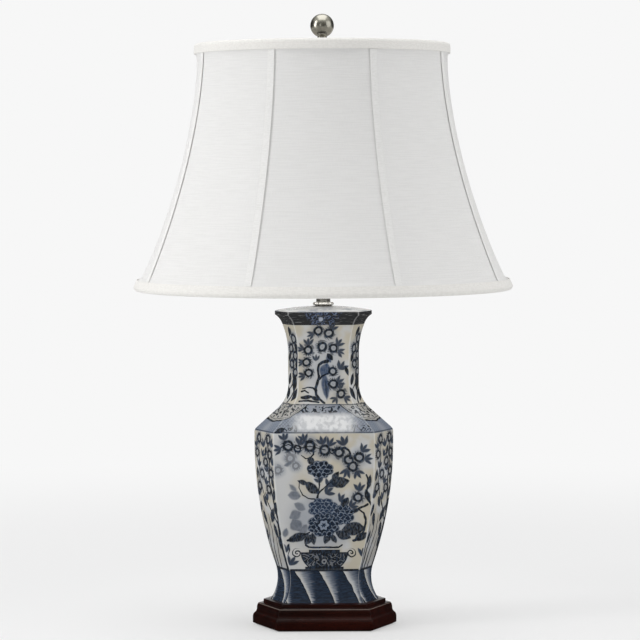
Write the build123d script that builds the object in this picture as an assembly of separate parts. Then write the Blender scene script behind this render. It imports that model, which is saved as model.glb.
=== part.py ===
from build123d import *
import os
from math import acos, atan2, cos, degrees, pi, radians, sin, tan

# Table lamp: an elongated hexagonal porcelain vase on a moulded wooden plinth, drilled for
# a tie rod that carries a lampholder and a harp, with an eight-panel bell shade held on the
# harp by a ball finial.
#
# Millimetres, +Z up. The origin is on the table, under the middle of the plinth. The wide
# front face looks along -Y.

# Fits
THREAD_GAP = 0.15
SLIDE_GAP = 0.3
TURN_GAP = 0.25
CLOTH_GAP = 0.3

# Felt and plinth
FELT_THICKNESS = 1.5
FELT_INSET = 3.0
PLINTH_HALF_WIDTH = 77.6
PLINTH_HALF_FRONT = 51.1
PLINTH_HALF_DEPTH = 53.0
FASCIA_HEIGHT = 7.0
OGEE_HEIGHT = 9.0
OGEE_INSET = 4.0
BEAD_HEIGHT = 6.0
BEAD_INSET = 5.7
LEDGE_INSET = 10.5
LEDGE_HEIGHT = 4.0
RECESS_DIAMETER = 60.0
RECESS_DEPTH = 13.0

# Cord inlet bush in the back of the plinth
BUSH_BORE = 6.2
BUSH_WALL = 0.9
BUSH_FLANGE_DIAMETER = 11.0
BUSH_FLANGE_THICKNESS = 1.5
BUSH_SPOT_DEPTH = 3.5
BUSH_AXIS_Z = 8.4

# Vase: half widths across the side corners
VASE_FRONT_SHARE = 0.72
VASE_DEPTH_SHARE = 0.56
FOOT_HALF_WIDTH = 58.5
WAIST_HALF_WIDTH = 50.7
WAIST_HEIGHT = 24.5
BELLY_HALF_WIDTH = 74.9
BELLY_ABOVE_WAIST = 145.0
SHOULDER_ABOVE_BELLY = 11.5
SHOULDER_RADIUS = 6.0
SHOULDER_SLOPE = 48.0
NECK_HALF_WIDTH = 38.3
NECK_RADIUS = 34.0
FLARE_RADIUS = 85.0
LIP_CURL_RADIUS = 19.0
LIP_SLOPE = 58.0
LIP_HALF_WIDTH = 52.3
LIP_ABOVE_SHOULDER = 126.1
LIP_EDGE = 4.6
DOME_RISE = 4.6
VASE_WALL = 5.0
VASE_FLOOR = 7.0
VASE_ROOF = 5.0
VASE_HOLE = 11.0

# Tie rod and the fittings on it
ROD_DIAMETER = 10.0
ROD_BORE = 7.0
ROD_BELOW_NUT = 2.5
WASHER_DIAMETER = 30.0
WASHER_THICKNESS = 2.0
NUT_ACROSS_FLATS = 17.0
NUT_THICKNESS = 5.0
SEAL_DIAMETER = 18.0
SEAL_THICKNESS = 1.2
SEAL_FLAT = 0.6
CHECK_RING_DIAMETER = 22.6
CHECK_RING_THICKNESS = 3.2
NECK_NUT_ACROSS_FLATS = 13.0
NECK_NUT_THICKNESS = 5.0

# Harp and its saddle
SADDLE_STRIP = 2.0
SADDLE_WIDTH = 12.0
SADDLE_ARM_HEIGHT = 16.0
SADDLE_BEND = 5.0
POST_HEIGHT = 8.0
HARP_WIRE = 4.0
HARP_LEG_SPAN = 60.0
HARP_BOW_RADIUS = 60.0
HARP_HALF_WIDTH = 52.0
FERRULE_WALL = 1.3
FERRULE_HEIGHT = 14.0
FERRULE_LIFT = 12.0
LEG_ABOVE_FERRULE = 19.75
HARP_HEIGHT = 228.4
SEAT_DIAMETER = 17.0
SEAT_RISE = 4.0
SEAT_SKIRT = 1.6
STUD_DIAMETER = 6.2
STUD_LENGTH = 13.5

# Lampholder with a push bar
HOLDER_ENTRY_DIAMETER = 16.0
HOLDER_ENTRY_HEIGHT = 7.0
HOLDER_CAP_HEIGHT = 18.0
HOLDER_DIAMETER = 39.0
HOLDER_WALL = 0.9
HOLDER_SHELL_HEIGHT = 36.0
HOLDER_RING_HEIGHT = 4.0
HOLDER_RING_LIP = 0.8
CORE_BASE_HEIGHT = 15.0
CORE_SLEEVE_WALL = 1.6
SCREW_SHELL_BORE = 26.8
SCREW_SHELL_WALL = 0.6
CONTACT_LENGTH = 14.0
CONTACT_WIDTH = 5.0
CONTACT_THICKNESS = 1.2
TERMINAL_DIAMETER = 5.0
TERMINAL_HEIGHT = 3.0
TERMINAL_OFFSET = 12.0
SWITCH_BAR_DIAMETER = 5.0
SWITCH_STANDOFF = 0.5
SWITCH_TIP_DIAMETER = 7.5
SWITCH_TIP_LENGTH = 6.0
SWITCH_TRAVEL = 6.0
SWITCH_AXIS_RISE = 7.5

# Bulb
BULB_DIAMETER = 60.0
BULB_CAP_DIAMETER = 26.0
BULB_CAP_HEIGHT = 21.5
BULB_CAP_WALL = 0.5
BULB_NECK_HEIGHT = 52.0
BULB_GLASS = 1.0
BULB_CONTACT_DIAMETER = 9.0
BULB_CONTACT_HEIGHT = 2.0
BULB_INSULATOR_HEIGHT = 3.0

# Shade: radii are those of the cloth's outer face at the struts
SHADE_HEIGHT = 262.5
SHADE_ABOVE_HUB = 13.25
SHADE_TOP_RADIUS = 135.4
SHADE_BOTTOM_RADIUS = 201.5
BELL_POWER = 1.7
PANEL_DIP = 0.027
PANEL_DIP_POWER = 0.2
PANELS = 8
SHADE_STEPS = 14
PANEL_CLOTH = 0.6
LINING_CLOTH = 0.5
LINING_SAG = 3.0
SHADE_WIRE = 3.0
TRIM_CLOTH = 1.0
TRIM_LEG = 7.2
TAPE_WIDTH = 7.4
TAPE_CLOTH = 0.5
SPIDER_ARMS = 3
SPIDER_WIRE = 3.2
SPIDER_HUB_DIAMETER = 24.0
SPIDER_HUB_THICKNESS = 2.0
SPIDER_BEND = 5.0
SPIDER_RISE_RUN = 14.0

# Finial
FINIAL_BALL_DIAMETER = 25.2
FINIAL_STEM_HEIGHT = 17.5
FINIAL_NECK_DIAMETER = 10.0
FINIAL_FLANGE_DIAMETER = 15.0
FINIAL_FLANGE_THICKNESS = 2.5
FINIAL_SOCKET = 2.4

# Heights of the stack, from the table up
REACH = 4 * PLINTH_HALF_WIDTH
PLINTH_HEIGHT = FASCIA_HEIGHT + OGEE_HEIGHT + BEAD_HEIGHT + LEDGE_HEIGHT
PLINTH_TOP_Z = FELT_THICKNESS + PLINTH_HEIGHT
RECESS_TOP_Z = FELT_THICKNESS + RECESS_DEPTH
BASE_NUT_Z = RECESS_TOP_Z - WASHER_THICKNESS - NUT_THICKNESS
WAIST_Z = PLINTH_TOP_Z + WAIST_HEIGHT
BELLY_Z = WAIST_Z + BELLY_ABOVE_WAIST
SHOULDER_Z = BELLY_Z + SHOULDER_ABOVE_BELLY
LIP_Z = SHOULDER_Z + LIP_ABOVE_SHOULDER
LIP_TOP_Z = LIP_Z + LIP_EDGE
SEAL_Z = LIP_TOP_Z + DOME_RISE - SEAL_FLAT
CHECK_RING_Z = SEAL_Z + SEAL_THICKNESS
NECK_NUT_Z = CHECK_RING_Z + CHECK_RING_THICKNESS
SADDLE_Z = NECK_NUT_Z + NECK_NUT_THICKNESS
HOLDER_Z = SADDLE_Z + SADDLE_STRIP
ROD_TOP_Z = HOLDER_Z + HOLDER_ENTRY_HEIGHT
SHELL_Z = HOLDER_Z + HOLDER_CAP_HEIGHT
HOLDER_RING_Z = SHELL_Z + HOLDER_SHELL_HEIGHT
CORE_TOP_Z = SHELL_Z + CORE_BASE_HEIGHT
SWITCH_Z = SHELL_Z + SWITCH_AXIS_RISE
SWITCH_BAR_LENGTH = HOLDER_DIAMETER + SWITCH_TRAVEL + 2 * SWITCH_STANDOFF
BULB_Z = CORE_TOP_Z + CONTACT_THICKNESS + SLIDE_GAP
BULB_CAP_Z = BULB_Z + BULB_CONTACT_HEIGHT + BULB_INSULATOR_HEIGHT
BULB_GLASS_Z = BULB_CAP_Z + BULB_CAP_HEIGHT
ARM_TOP_Z = SADDLE_Z + SADDLE_STRIP / 2 + SADDLE_ARM_HEIGHT
POST_TOP_Z = ARM_TOP_Z + POST_HEIGHT
FERRULE_Z = ARM_TOP_Z + TURN_GAP
HARP_BOW_Z = FERRULE_Z + FERRULE_HEIGHT + FERRULE_LIFT + LEG_ABOVE_FERRULE
HARP_TOP_Z = POST_TOP_Z + HARP_HEIGHT
SEAT_TOP_Z = HARP_TOP_Z + SEAT_RISE
HUB_Z = SEAT_TOP_Z + TURN_GAP
FINIAL_Z = HUB_Z + SPIDER_HUB_THICKNESS + TURN_GAP
BALL_Z = FINIAL_Z + FINIAL_STEM_HEIGHT + FINIAL_BALL_DIAMETER / 2
SHADE_TOP_Z = HUB_Z + SHADE_ABOVE_HUB
SHADE_BOTTOM_Z = SHADE_TOP_Z - SHADE_HEIGHT

# Shade frame: the binding folds round a ring, with cloth between them on both sides
FOLD_RADIUS = SHADE_WIRE / 2 + CLOTH_GAP + PANEL_CLOTH + CLOTH_GAP
RING_INSET = SHADE_WIRE / 2 + CLOTH_GAP + PANEL_CLOTH
LINING_INSET = RING_INSET + SHADE_WIRE / 2 + 2 * CLOTH_GAP
TOP_RING_Z = SHADE_TOP_Z - FOLD_RADIUS - TRIM_CLOTH
BOTTOM_RING_Z = SHADE_BOTTOM_Z + FOLD_RADIUS + TRIM_CLOTH
RING_SPACING = TOP_RING_Z - BOTTOM_RING_Z
TRIM_SHARE = TRIM_LEG / RING_SPACING
PANEL_ANGLE = 360 / PANELS
TOP_RING_RADIUS = SHADE_TOP_RADIUS - RING_INSET
BOTTOM_RING_RADIUS = SHADE_BOTTOM_RADIUS - RING_INSET
FLARE_RUN = BELL_POWER * (SHADE_BOTTOM_RADIUS - SHADE_TOP_RADIUS)
FLARE_LEAN = degrees(atan2(FLARE_RUN, RING_SPACING))


def ring(outer, bore, base_z, height):
    """Plain round washer or tube standing on base_z."""
    upright = (Align.CENTER, Align.CENTER, Align.MIN)
    body = Cylinder(outer / 2, height, align=upright) - Cylinder(bore / 2, height, align=upright)
    return Pos(0, 0, base_z) * body


def disc(diameter, base_z, height):
    """Plain round slug standing on base_z."""
    return Pos(0, 0, base_z) * Cylinder(diameter / 2, height, align=(Align.CENTER, Align.CENTER, Align.MIN))


def hex_nut(across_flats, bore, base_z, height):
    """Six-sided nut standing on base_z, with a plain bore."""
    plan = RegularPolygon(across_flats / 2, 6, major_radius=False) - Circle(bore / 2)
    return Pos(0, 0, base_z) * extrude(plan, height)


def turned(points_right):
    """Turned solid from a closed outline of radius and height."""
    return revolve(Plane.XZ * make_face(Polyline(*points_right, close=True)), Axis.Z)


def wire_along(path, diameter):
    """Round wire along a path."""
    return sweep(Plane(path @ 0, z_dir=path % 0) * Circle(diameter / 2), path=path)


def upright_face(right_side):
    """Closed face from the right side of an outline that is alike on both sides of the axis."""
    return make_face(right_side + mirror(right_side, about=Plane.YZ))


def hexagonal_block(half_width, half_front, half_depth, outline):
    """Block with three pairs of faces. outline(apothem) gives each pair's profile."""
    lean = degrees(atan2(half_width - half_front, half_depth))
    side_apothem = half_width * cos(radians(lean))
    block = extrude(Plane.XZ * outline(side_apothem), REACH, both=True)
    block = Rot(0, 0, lean) * block & Rot(0, 0, -lean) * block
    return block & Rot(0, 0, 90) * extrude(Plane.XZ * outline(half_depth), REACH, both=True)


def plinth_outline(apothem):
    """Fascia, ogee, rounded bead, ledge and top step."""
    fascia_z = FELT_THICKNESS + FASCIA_HEIGHT
    ogee_z = fascia_z + OGEE_HEIGHT
    bead_z = ogee_z + BEAD_HEIGHT
    ogee_middle = (apothem - OGEE_INSET / 2, (fascia_z + ogee_z) / 2)
    ogee_x = apothem - OGEE_INSET
    ledge_x = apothem - LEDGE_INSET
    right = Line((0, FELT_THICKNESS), (apothem, FELT_THICKNESS))
    right += Line((apothem, FELT_THICKNESS), (apothem, fascia_z))
    right += TangentArc((apothem, fascia_z), ogee_middle, tangent=(0, 1))
    right += TangentArc((ogee_x, ogee_z), ogee_middle, tangent=(0, -1))
    right += TangentArc((ogee_x, ogee_z), (apothem - BEAD_INSET, bead_z), tangent=(0, 1))
    right += Line((apothem - BEAD_INSET, bead_z), (ledge_x, bead_z))
    right += Line((ledge_x, bead_z), (ledge_x, PLINTH_TOP_Z))
    right += Line((ledge_x, PLINTH_TOP_Z), (0, PLINTH_TOP_Z))
    return upright_face(right)


def felt_pad():
    """Flat pad under the plinth, cut a little smaller."""
    lean = atan2(PLINTH_HALF_WIDTH - PLINTH_HALF_FRONT, PLINTH_HALF_DEPTH)
    half_width = PLINTH_HALF_WIDTH - FELT_INSET / cos(lean)
    half_depth = PLINTH_HALF_DEPTH - FELT_INSET
    half_front = half_width - half_depth * tan(lean)
    corners = [
        (half_width, 0),
        (half_front, half_depth),
        (-half_front, half_depth),
        (-half_width, 0),
        (-half_front, -half_depth),
        (half_front, -half_depth),
    ]
    return extrude(make_face(Polyline(*corners, close=True)), FELT_THICKNESS)


def along_back(diameter, start_y, end_y):
    """Round slug on the cord inlet's axis, from start_y to end_y."""
    slug = Cylinder(diameter / 2, end_y - start_y, align=(Align.CENTER, Align.CENTER, Align.MIN))
    return Pos(0, start_y, BUSH_AXIS_Z) * Rot(-90, 0, 0) * slug


BUSH_DIAMETER = BUSH_BORE + 2 * BUSH_WALL
BUSH_SEAT_Y = PLINTH_HALF_DEPTH - BUSH_SPOT_DEPTH


def plinth():
    """Moulded base with a recess for the nut and a drilled way out for the flex."""
    block = hexagonal_block(PLINTH_HALF_WIDTH, PLINTH_HALF_FRONT, PLINTH_HALF_DEPTH, plinth_outline)
    block -= disc(RECESS_DIAMETER, FELT_THICKNESS, RECESS_DEPTH)
    block -= disc(VASE_HOLE, FELT_THICKNESS, PLINTH_HEIGHT)
    block -= along_back(BUSH_DIAMETER + 2 * THREAD_GAP, 0, PLINTH_HALF_DEPTH)
    return block - along_back(BUSH_FLANGE_DIAMETER + 2 * SLIDE_GAP, BUSH_SEAT_Y, PLINTH_HALF_DEPTH)


def cord_bush():
    """Flanged tube pushed into the hole at the back."""
    inner_y = RECESS_DIAMETER / 2
    bush = along_back(BUSH_DIAMETER, inner_y, BUSH_SEAT_Y)
    bush += along_back(BUSH_FLANGE_DIAMETER, BUSH_SEAT_Y, BUSH_SEAT_Y + BUSH_FLANGE_THICKNESS)
    return bush - along_back(BUSH_BORE, inner_y, BUSH_SEAT_Y + BUSH_FLANGE_THICKNESS)


def profile_arc(centre, radius, start, end, share, inset):
    """One arc of the vase's profile, drawn towards the axis for a pair of faces."""
    points = []
    for step in range(5):
        angle = radians(start + (end - start) * step / 4)
        across = share * (centre[0] + radius * cos(angle)) - inset
        points.append((across, centre[1] + radius * sin(angle)))
    turn = 1 if end > start else -1
    tangents = []
    for angle in (radians(start), radians(end)):
        tangents.append((-turn * share * sin(angle), turn * cos(angle)))
    return Spline(points, tangents=tangents)


def vase_profile(share, inset):
    """Curves of the vase's right side from foot to lip, as arcs that run into each other."""
    foot_run = FOOT_HALF_WIDTH - WAIST_HALF_WIDTH
    waist_radius = (foot_run**2 + WAIST_HEIGHT**2) / (2 * foot_run)
    waist_centre = (WAIST_HALF_WIDTH + waist_radius, WAIST_Z)
    foot_angle = 180 + degrees(atan2(WAIST_HEIGHT, waist_radius - foot_run))

    swell = BELLY_HALF_WIDTH - WAIST_HALF_WIDTH
    radii = (swell**2 + BELLY_ABOVE_WAIST**2) / (2 * swell)
    belly_centre = (BELLY_HALF_WIDTH - (radii - waist_radius), BELLY_Z)
    bend = degrees(atan2(BELLY_ABOVE_WAIST, radii - swell))

    shoulder_centre = (BELLY_HALF_WIDTH - SHOULDER_RADIUS, SHOULDER_Z)
    slope = radians(SHOULDER_SLOPE)
    drawn_in = BELLY_HALF_WIDTH - NECK_HALF_WIDTH
    run = (drawn_in - (SHOULDER_RADIUS + NECK_RADIUS) * (1 - cos(slope))) / sin(slope)
    neck_z = SHOULDER_Z + (SHOULDER_RADIUS + NECK_RADIUS) * sin(slope) + run * cos(slope)
    neck_centre = (NECK_HALF_WIDTH + NECK_RADIUS, neck_z)

    lip = radians(LIP_SLOPE)
    spread = LIP_HALF_WIDTH - NECK_HALF_WIDTH
    flare = acos((FLARE_RADIUS - LIP_CURL_RADIUS * cos(lip) - spread) / (FLARE_RADIUS - LIP_CURL_RADIUS))
    curl_z = LIP_Z - LIP_CURL_RADIUS * sin(lip)
    flare_z = curl_z - (FLARE_RADIUS - LIP_CURL_RADIUS) * sin(flare)
    curl_centre = (LIP_HALF_WIDTH + LIP_CURL_RADIUS * cos(lip), curl_z)
    flare_centre = (NECK_HALF_WIDTH + FLARE_RADIUS, flare_z)
    flare_angle = degrees(flare)

    def arc(centre, radius, start, end):
        return profile_arc(centre, radius, start, end, share, inset)

    curves = [
        arc(waist_centre, waist_radius, foot_angle, 180 - bend),
        arc(belly_centre, radii - waist_radius, -bend, 0),
        arc(shoulder_centre, SHOULDER_RADIUS, 0, SHOULDER_SLOPE),
        arc(neck_centre, NECK_RADIUS, 180 + SHOULDER_SLOPE, 180),
        arc(flare_centre, FLARE_RADIUS, 180, 180 - flare_angle),
        arc(curl_centre, LIP_CURL_RADIUS, 180 - flare_angle, 180 - LIP_SLOPE),
    ]
    joined = curves[0]
    for below, above in zip(curves, curves[1:]):
        if (above @ 0 - below @ 1).length > THREAD_GAP / 100:
            joined += Line(below @ 1, above @ 0)
        joined += above
    return joined, curves[0] @ 0, curves[-1] @ 1


def vase_outline(apothem):
    """Outer profile of one pair of faces, with the domed top."""
    share = apothem / BELLY_HALF_WIDTH
    side, foot, lip = vase_profile(share, 0)
    rim = lip + Vector(0, LIP_EDGE)
    right = Line((0, PLINTH_TOP_Z), foot) + side + Line(lip, rim)
    top = ThreePointArc(rim, (0, LIP_TOP_Z + DOME_RISE), (-rim.X, rim.Y))
    return make_face(right + mirror(right, about=Plane.YZ) + top)


def cavity_outline(apothem):
    """Inner profile of one pair of faces, inside the vase's wall."""
    share = apothem / BELLY_HALF_WIDTH
    side, foot, lip = vase_profile(share, VASE_WALL)
    return upright_face(Line((0, foot.Y), foot) + side + Line(lip, (0, lip.Y)))


def vase():
    """Hollow hexagonal vase with a hole through floor and top for the rod."""
    plan = (BELLY_HALF_WIDTH, VASE_FRONT_SHARE * BELLY_HALF_WIDTH, VASE_DEPTH_SHARE * BELLY_HALF_WIDTH)
    cavity = hexagonal_block(*plan, cavity_outline)
    floor_z = PLINTH_TOP_Z + VASE_FLOOR
    roof_z = LIP_TOP_Z - VASE_ROOF
    inside = Pos(0, 0, (floor_z + roof_z) / 2) * Box(REACH, REACH, roof_z - floor_z)
    shell = hexagonal_block(*plan, vase_outline) - (cavity & inside)
    shell -= disc(VASE_HOLE, PLINTH_TOP_Z, LIP_TOP_Z + DOME_RISE)
    return shell - disc(CHECK_RING_DIAMETER + 2 * SLIDE_GAP, SEAL_Z, DOME_RISE)


def tie_rod():
    """Hollow threaded rod from the plinth's recess into the lampholder."""
    base_z = BASE_NUT_Z - ROD_BELOW_NUT
    return ring(ROD_DIAMETER, ROD_BORE, base_z, ROD_TOP_Z - base_z)


ROD_HOLE = ROD_DIAMETER + 2 * THREAD_GAP


def check_ring():
    """Turned ring with a half-round rim that hides the hole in the vase's top."""
    flat = (CHECK_RING_DIAMETER - CHECK_RING_THICKNESS) / 2
    top_z = CHECK_RING_Z + CHECK_RING_THICKNESS
    rim = (CHECK_RING_DIAMETER / 2, (CHECK_RING_Z + top_z) / 2)
    outline = Line((ROD_HOLE / 2, CHECK_RING_Z), (flat, CHECK_RING_Z))
    outline += ThreePointArc((flat, CHECK_RING_Z), rim, (flat, top_z))
    outline += Polyline((flat, top_z), (ROD_HOLE / 2, top_z), (ROD_HOLE / 2, CHECK_RING_Z))
    return revolve(Plane.XZ * make_face(outline), Axis.Z)


def neck_nut():
    """Hexagonal nut that clamps the vase between the check ring and the plinth."""
    return hex_nut(NECK_NUT_ACROSS_FLATS, ROD_HOLE, NECK_NUT_Z, NECK_NUT_THICKNESS)


def harp_saddle():
    """Bent strip on the rod, with a round post on each arm for the harp."""
    half = HARP_LEG_SPAN / 2
    middle_z = SADDLE_Z + SADDLE_STRIP / 2
    bends = [(-half, ARM_TOP_Z), (-half, middle_z), (half, middle_z), (half, ARM_TOP_Z)]
    path = Plane.XZ * FilletPolyline(*bends, radius=SADDLE_BEND)
    section = Plane(path @ 0, x_dir=(0, 1, 0), z_dir=path % 0) * Rectangle(SADDLE_WIDTH, SADDLE_STRIP)
    strip = sweep(section, path=path) - disc(ROD_HOLE, SADDLE_Z, SADDLE_STRIP)
    post = disc(HARP_WIRE, ARM_TOP_Z, POST_HEIGHT)
    return strip + Pos(-half, 0, 0) * post + Pos(half, 0, 0) * post


def harp():
    """Wire loop that stands on the saddle's posts and carries the shade."""
    half = HARP_LEG_SPAN / 2
    spread = degrees(acos(1 - (HARP_HALF_WIDTH - half) / (2 * HARP_BOW_RADIUS)))
    leg = Line((-half, POST_TOP_Z), (-half, HARP_BOW_Z))
    out = JernArc(leg @ 1, (0, 1), HARP_BOW_RADIUS, spread)
    back = JernArc(out @ 1, out % 1, HARP_BOW_RADIUS, -spread)
    side = Line(back @ 1, (-HARP_HALF_WIDTH, HARP_TOP_Z - HARP_HALF_WIDTH))
    left = leg + out + back + side
    crown = ThreePointArc(side @ 1, (0, HARP_TOP_Z), (HARP_HALF_WIDTH, (side @ 1).Y))
    loop = Wire((left + crown + mirror(left, about=Plane.YZ)).edges())
    return wire_along(Plane.XZ * loop, HARP_WIRE)


def harp_stud():
    """Seat pressed over the harp's crown, with the stud that takes the finial."""
    skirt_z = HARP_TOP_Z - SEAT_SKIRT
    stud = disc(SEAT_DIAMETER, skirt_z, SEAT_TOP_Z - skirt_z)
    stud += disc(STUD_DIAMETER, SEAT_TOP_Z, STUD_LENGTH)
    bend_z = HARP_TOP_Z - HARP_HALF_WIDTH
    groove = Torus(HARP_HALF_WIDTH, HARP_WIRE / 2 + THREAD_GAP)
    return stud - Pos(0, 0, bend_z) * Rot(90, 0, 0) * groove


def ferrule(side):
    """Sleeve over one post and the foot of the harp's leg."""
    bore = HARP_WIRE + 2 * SLIDE_GAP
    sleeve = ring(bore + 2 * FERRULE_WALL, bore, FERRULE_Z, FERRULE_HEIGHT)
    return Pos(side * HARP_LEG_SPAN / 2, 0, 0) * sleeve


def holder_cap():
    """Domed lower half of the lampholder, screwed on the rod."""
    entry = HOLDER_ENTRY_DIAMETER / 2
    rim = HOLDER_DIAMETER / 2
    bore = ROD_HOLE / 2
    entry_z = HOLDER_Z + HOLDER_ENTRY_HEIGHT
    outline = Polyline((bore, HOLDER_Z), (entry, HOLDER_Z), (entry, entry_z))
    outline += TangentArc((rim, SHELL_Z), (entry, entry_z), tangent=(0, -1))
    outline += Line((rim, SHELL_Z), (rim - HOLDER_WALL, SHELL_Z))
    inner_z = entry_z + HOLDER_WALL
    outline += TangentArc((rim - HOLDER_WALL, SHELL_Z), (entry, inner_z), tangent=(0, -1))
    outline += Polyline((entry, inner_z), (bore, inner_z), (bore, HOLDER_Z))
    return revolve(Plane.XZ * make_face(outline), Axis.Z)


CORE_DIAMETER = HOLDER_DIAMETER - 2 * HOLDER_WALL - 2 * THREAD_GAP
SWITCH_HOLE = SWITCH_BAR_DIAMETER + 2 * SLIDE_GAP
SCREW_SHELL_DIAMETER = SCREW_SHELL_BORE + 2 * SCREW_SHELL_WALL
SLEEVE_BORE = SCREW_SHELL_DIAMETER + 2 * THREAD_GAP


def across(diameter, length):
    """Round slug on the switch bar's axis, the same length each way from the middle."""
    return Pos(0, 0, SWITCH_Z) * Rot(90, 0, 0) * Cylinder(diameter / 2, length)


def holder_shell():
    """Straight upper half of the lampholder, with a hole on each side for the switch bar."""
    tube = ring(HOLDER_DIAMETER, HOLDER_DIAMETER - 2 * HOLDER_WALL, SHELL_Z, HOLDER_SHELL_HEIGHT)
    return tube - across(SWITCH_HOLE, 2 * HOLDER_DIAMETER)


def holder_core():
    """Insulating core with a bore for the switch bar and a sleeve for the screw shell."""
    core = disc(CORE_DIAMETER, SHELL_Z, CORE_BASE_HEIGHT)
    sleeve = HOLDER_SHELL_HEIGHT - CORE_BASE_HEIGHT
    core += ring(SLEEVE_BORE + 2 * CORE_SLEEVE_WALL, SLEEVE_BORE, CORE_TOP_Z, sleeve)
    return core - across(SWITCH_HOLE, 2 * HOLDER_DIAMETER)


def holder_ring():
    """Insulating ring that closes the top of the holder round the bulb's cap."""
    bore = SCREW_SHELL_DIAMETER + HOLDER_RING_LIP
    return ring(HOLDER_DIAMETER, bore, HOLDER_RING_Z, HOLDER_RING_HEIGHT)


def screw_shell():
    """Thin threaded contact sleeve, drawn plain."""
    height = HOLDER_SHELL_HEIGHT - CORE_BASE_HEIGHT
    return ring(SCREW_SHELL_DIAMETER, SCREW_SHELL_BORE, CORE_TOP_Z, height)


def centre_contact():
    """Springy strip under the bulb's contact."""
    strip = extrude(SlotOverall(CONTACT_LENGTH, CONTACT_WIDTH), CONTACT_THICKNESS)
    return Pos(0, 0, CORE_TOP_Z) * strip


def terminal_screws():
    """Two terminal screws under the core."""
    screw = disc(TERMINAL_DIAMETER, SHELL_Z - TERMINAL_HEIGHT, TERMINAL_HEIGHT)
    return Compound(children=[Pos(-TERMINAL_OFFSET, 0, 0) * screw, Pos(TERMINAL_OFFSET, 0, 0) * screw])


def switch_bar():
    """Round bar that is pushed through the holder to switch the lamp."""
    return Pos(0, -SWITCH_TRAVEL / 2, 0) * across(SWITCH_BAR_DIAMETER, SWITCH_BAR_LENGTH)


def switch_tips():
    """Rounded caps on the two ends of the switch bar."""
    blank = disc(SWITCH_TIP_DIAMETER, 0, SWITCH_TIP_LENGTH)
    tip = fillet(blank.edges().group_by(Axis.Z)[-1], SWITCH_TIP_DIAMETER / 4)
    ends = []
    for side in (-1, 1):
        seat_y = side * SWITCH_BAR_LENGTH / 2 - SWITCH_TRAVEL / 2
        ends.append(Pos(0, seat_y, SWITCH_Z) * Rot(-90 * side, 0, 0) * tip)
    return Compound(children=ends)


def bulb_contact():
    """Contact button at the foot of the bulb."""
    blank = disc(BULB_CONTACT_DIAMETER, BULB_Z, BULB_CONTACT_HEIGHT)
    return fillet(blank.edges().group_by(Axis.Z)[0], BULB_CONTACT_HEIGHT / 2)


def bulb_insulator():
    """Glass bead between the contact and the cap."""
    foot_z = BULB_Z + BULB_CONTACT_HEIGHT
    cone = Cone(
        BULB_CONTACT_DIAMETER / 2,
        BULB_CAP_DIAMETER / 2 - BULB_CAP_WALL,
        BULB_INSULATOR_HEIGHT,
        align=(Align.CENTER, Align.CENTER, Align.MIN),
    )
    return Pos(0, 0, foot_z) * cone


def bulb_cap():
    """Threaded cap of the bulb, drawn plain."""
    return ring(BULB_CAP_DIAMETER, BULB_CAP_DIAMETER - 2 * BULB_CAP_WALL, BULB_CAP_Z, BULB_CAP_HEIGHT)


def bulb_skin(inset):
    """Outline of the bulb's glass from its neck to its crown, inset from the outside."""
    neck = BULB_CAP_DIAMETER / 2 - inset
    widest = BULB_DIAMETER / 2 - inset
    widest_z = BULB_GLASS_Z + BULB_NECK_HEIGHT
    side = Spline((neck, BULB_GLASS_Z), (widest, widest_z), tangents=[(0, 1), (0, 1)])
    crown = (0, widest_z + widest)
    shoulder = (widest * sin(pi / 4), widest_z + widest * cos(pi / 4))
    return side + ThreePointArc((widest, widest_z), shoulder, crown), (neck, BULB_GLASS_Z), crown


def bulb_glass():
    """Thin pear-shaped envelope."""
    outer, outer_foot, outer_crown = bulb_skin(0)
    inner, inner_foot, inner_crown = bulb_skin(BULB_GLASS)
    outline = outer + inner + Line(outer_foot, inner_foot) + Line(outer_crown, inner_crown)
    return revolve(Plane.XZ * make_face(outline), Axis.Z)


def finial_base():
    """Turned stem, threaded inside, that clamps the spider on the harp."""
    bore = STUD_DIAMETER / 2 + THREAD_GAP
    stem_top = FINIAL_Z + FINIAL_STEM_HEIGHT + FINIAL_SOCKET
    blind = SEAT_TOP_Z + STUD_LENGTH + SLIDE_GAP
    flange_top = FINIAL_Z + FINIAL_FLANGE_THICKNESS
    outline = [
        (bore, FINIAL_Z),
        (FINIAL_FLANGE_DIAMETER / 2, FINIAL_Z),
        (FINIAL_FLANGE_DIAMETER / 2, flange_top),
        (FINIAL_NECK_DIAMETER / 2, flange_top),
        (FINIAL_NECK_DIAMETER / 2, stem_top),
        (0, stem_top),
        (0, blind),
        (bore, blind),
    ]
    return turned(outline)


def finial_ball():
    """Ball with a blind socket for the stem."""
    ball = Pos(0, 0, BALL_Z) * Sphere(FINIAL_BALL_DIAMETER / 2)
    return ball - disc(FINIAL_NECK_DIAMETER + 2 * THREAD_GAP, FINIAL_Z + FINIAL_STEM_HEIGHT, FINIAL_SOCKET)


def strut_radius(drop):
    """Radius of the cloth's outer face over a strut, drop being 0 at the top ring and 1 at the bottom."""
    return SHADE_TOP_RADIUS + (SHADE_BOTTOM_RADIUS - SHADE_TOP_RADIUS) * drop**BELL_POWER


def free_share(drop):
    """How far down between the bindings a level lies, from 0 to 1."""
    return min(max((drop - TRIM_SHARE) / (1 - 2 * TRIM_SHARE), 0), 1)


def panel_radius(drop):
    """Radius of the cloth's outer face half-way between struts, where it is drawn flatter."""
    return strut_radius(drop) * (1 - PANEL_DIP * sin(pi * free_share(drop)) ** PANEL_DIP_POWER)


def drop_z(drop):
    """Height of a point of the shade."""
    return TOP_RING_Z - RING_SPACING * drop


def polar(radius, angle):
    """Point at a radius and an angle in degrees."""
    return (radius * cos(radians(angle)), radius * sin(radians(angle)))


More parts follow.
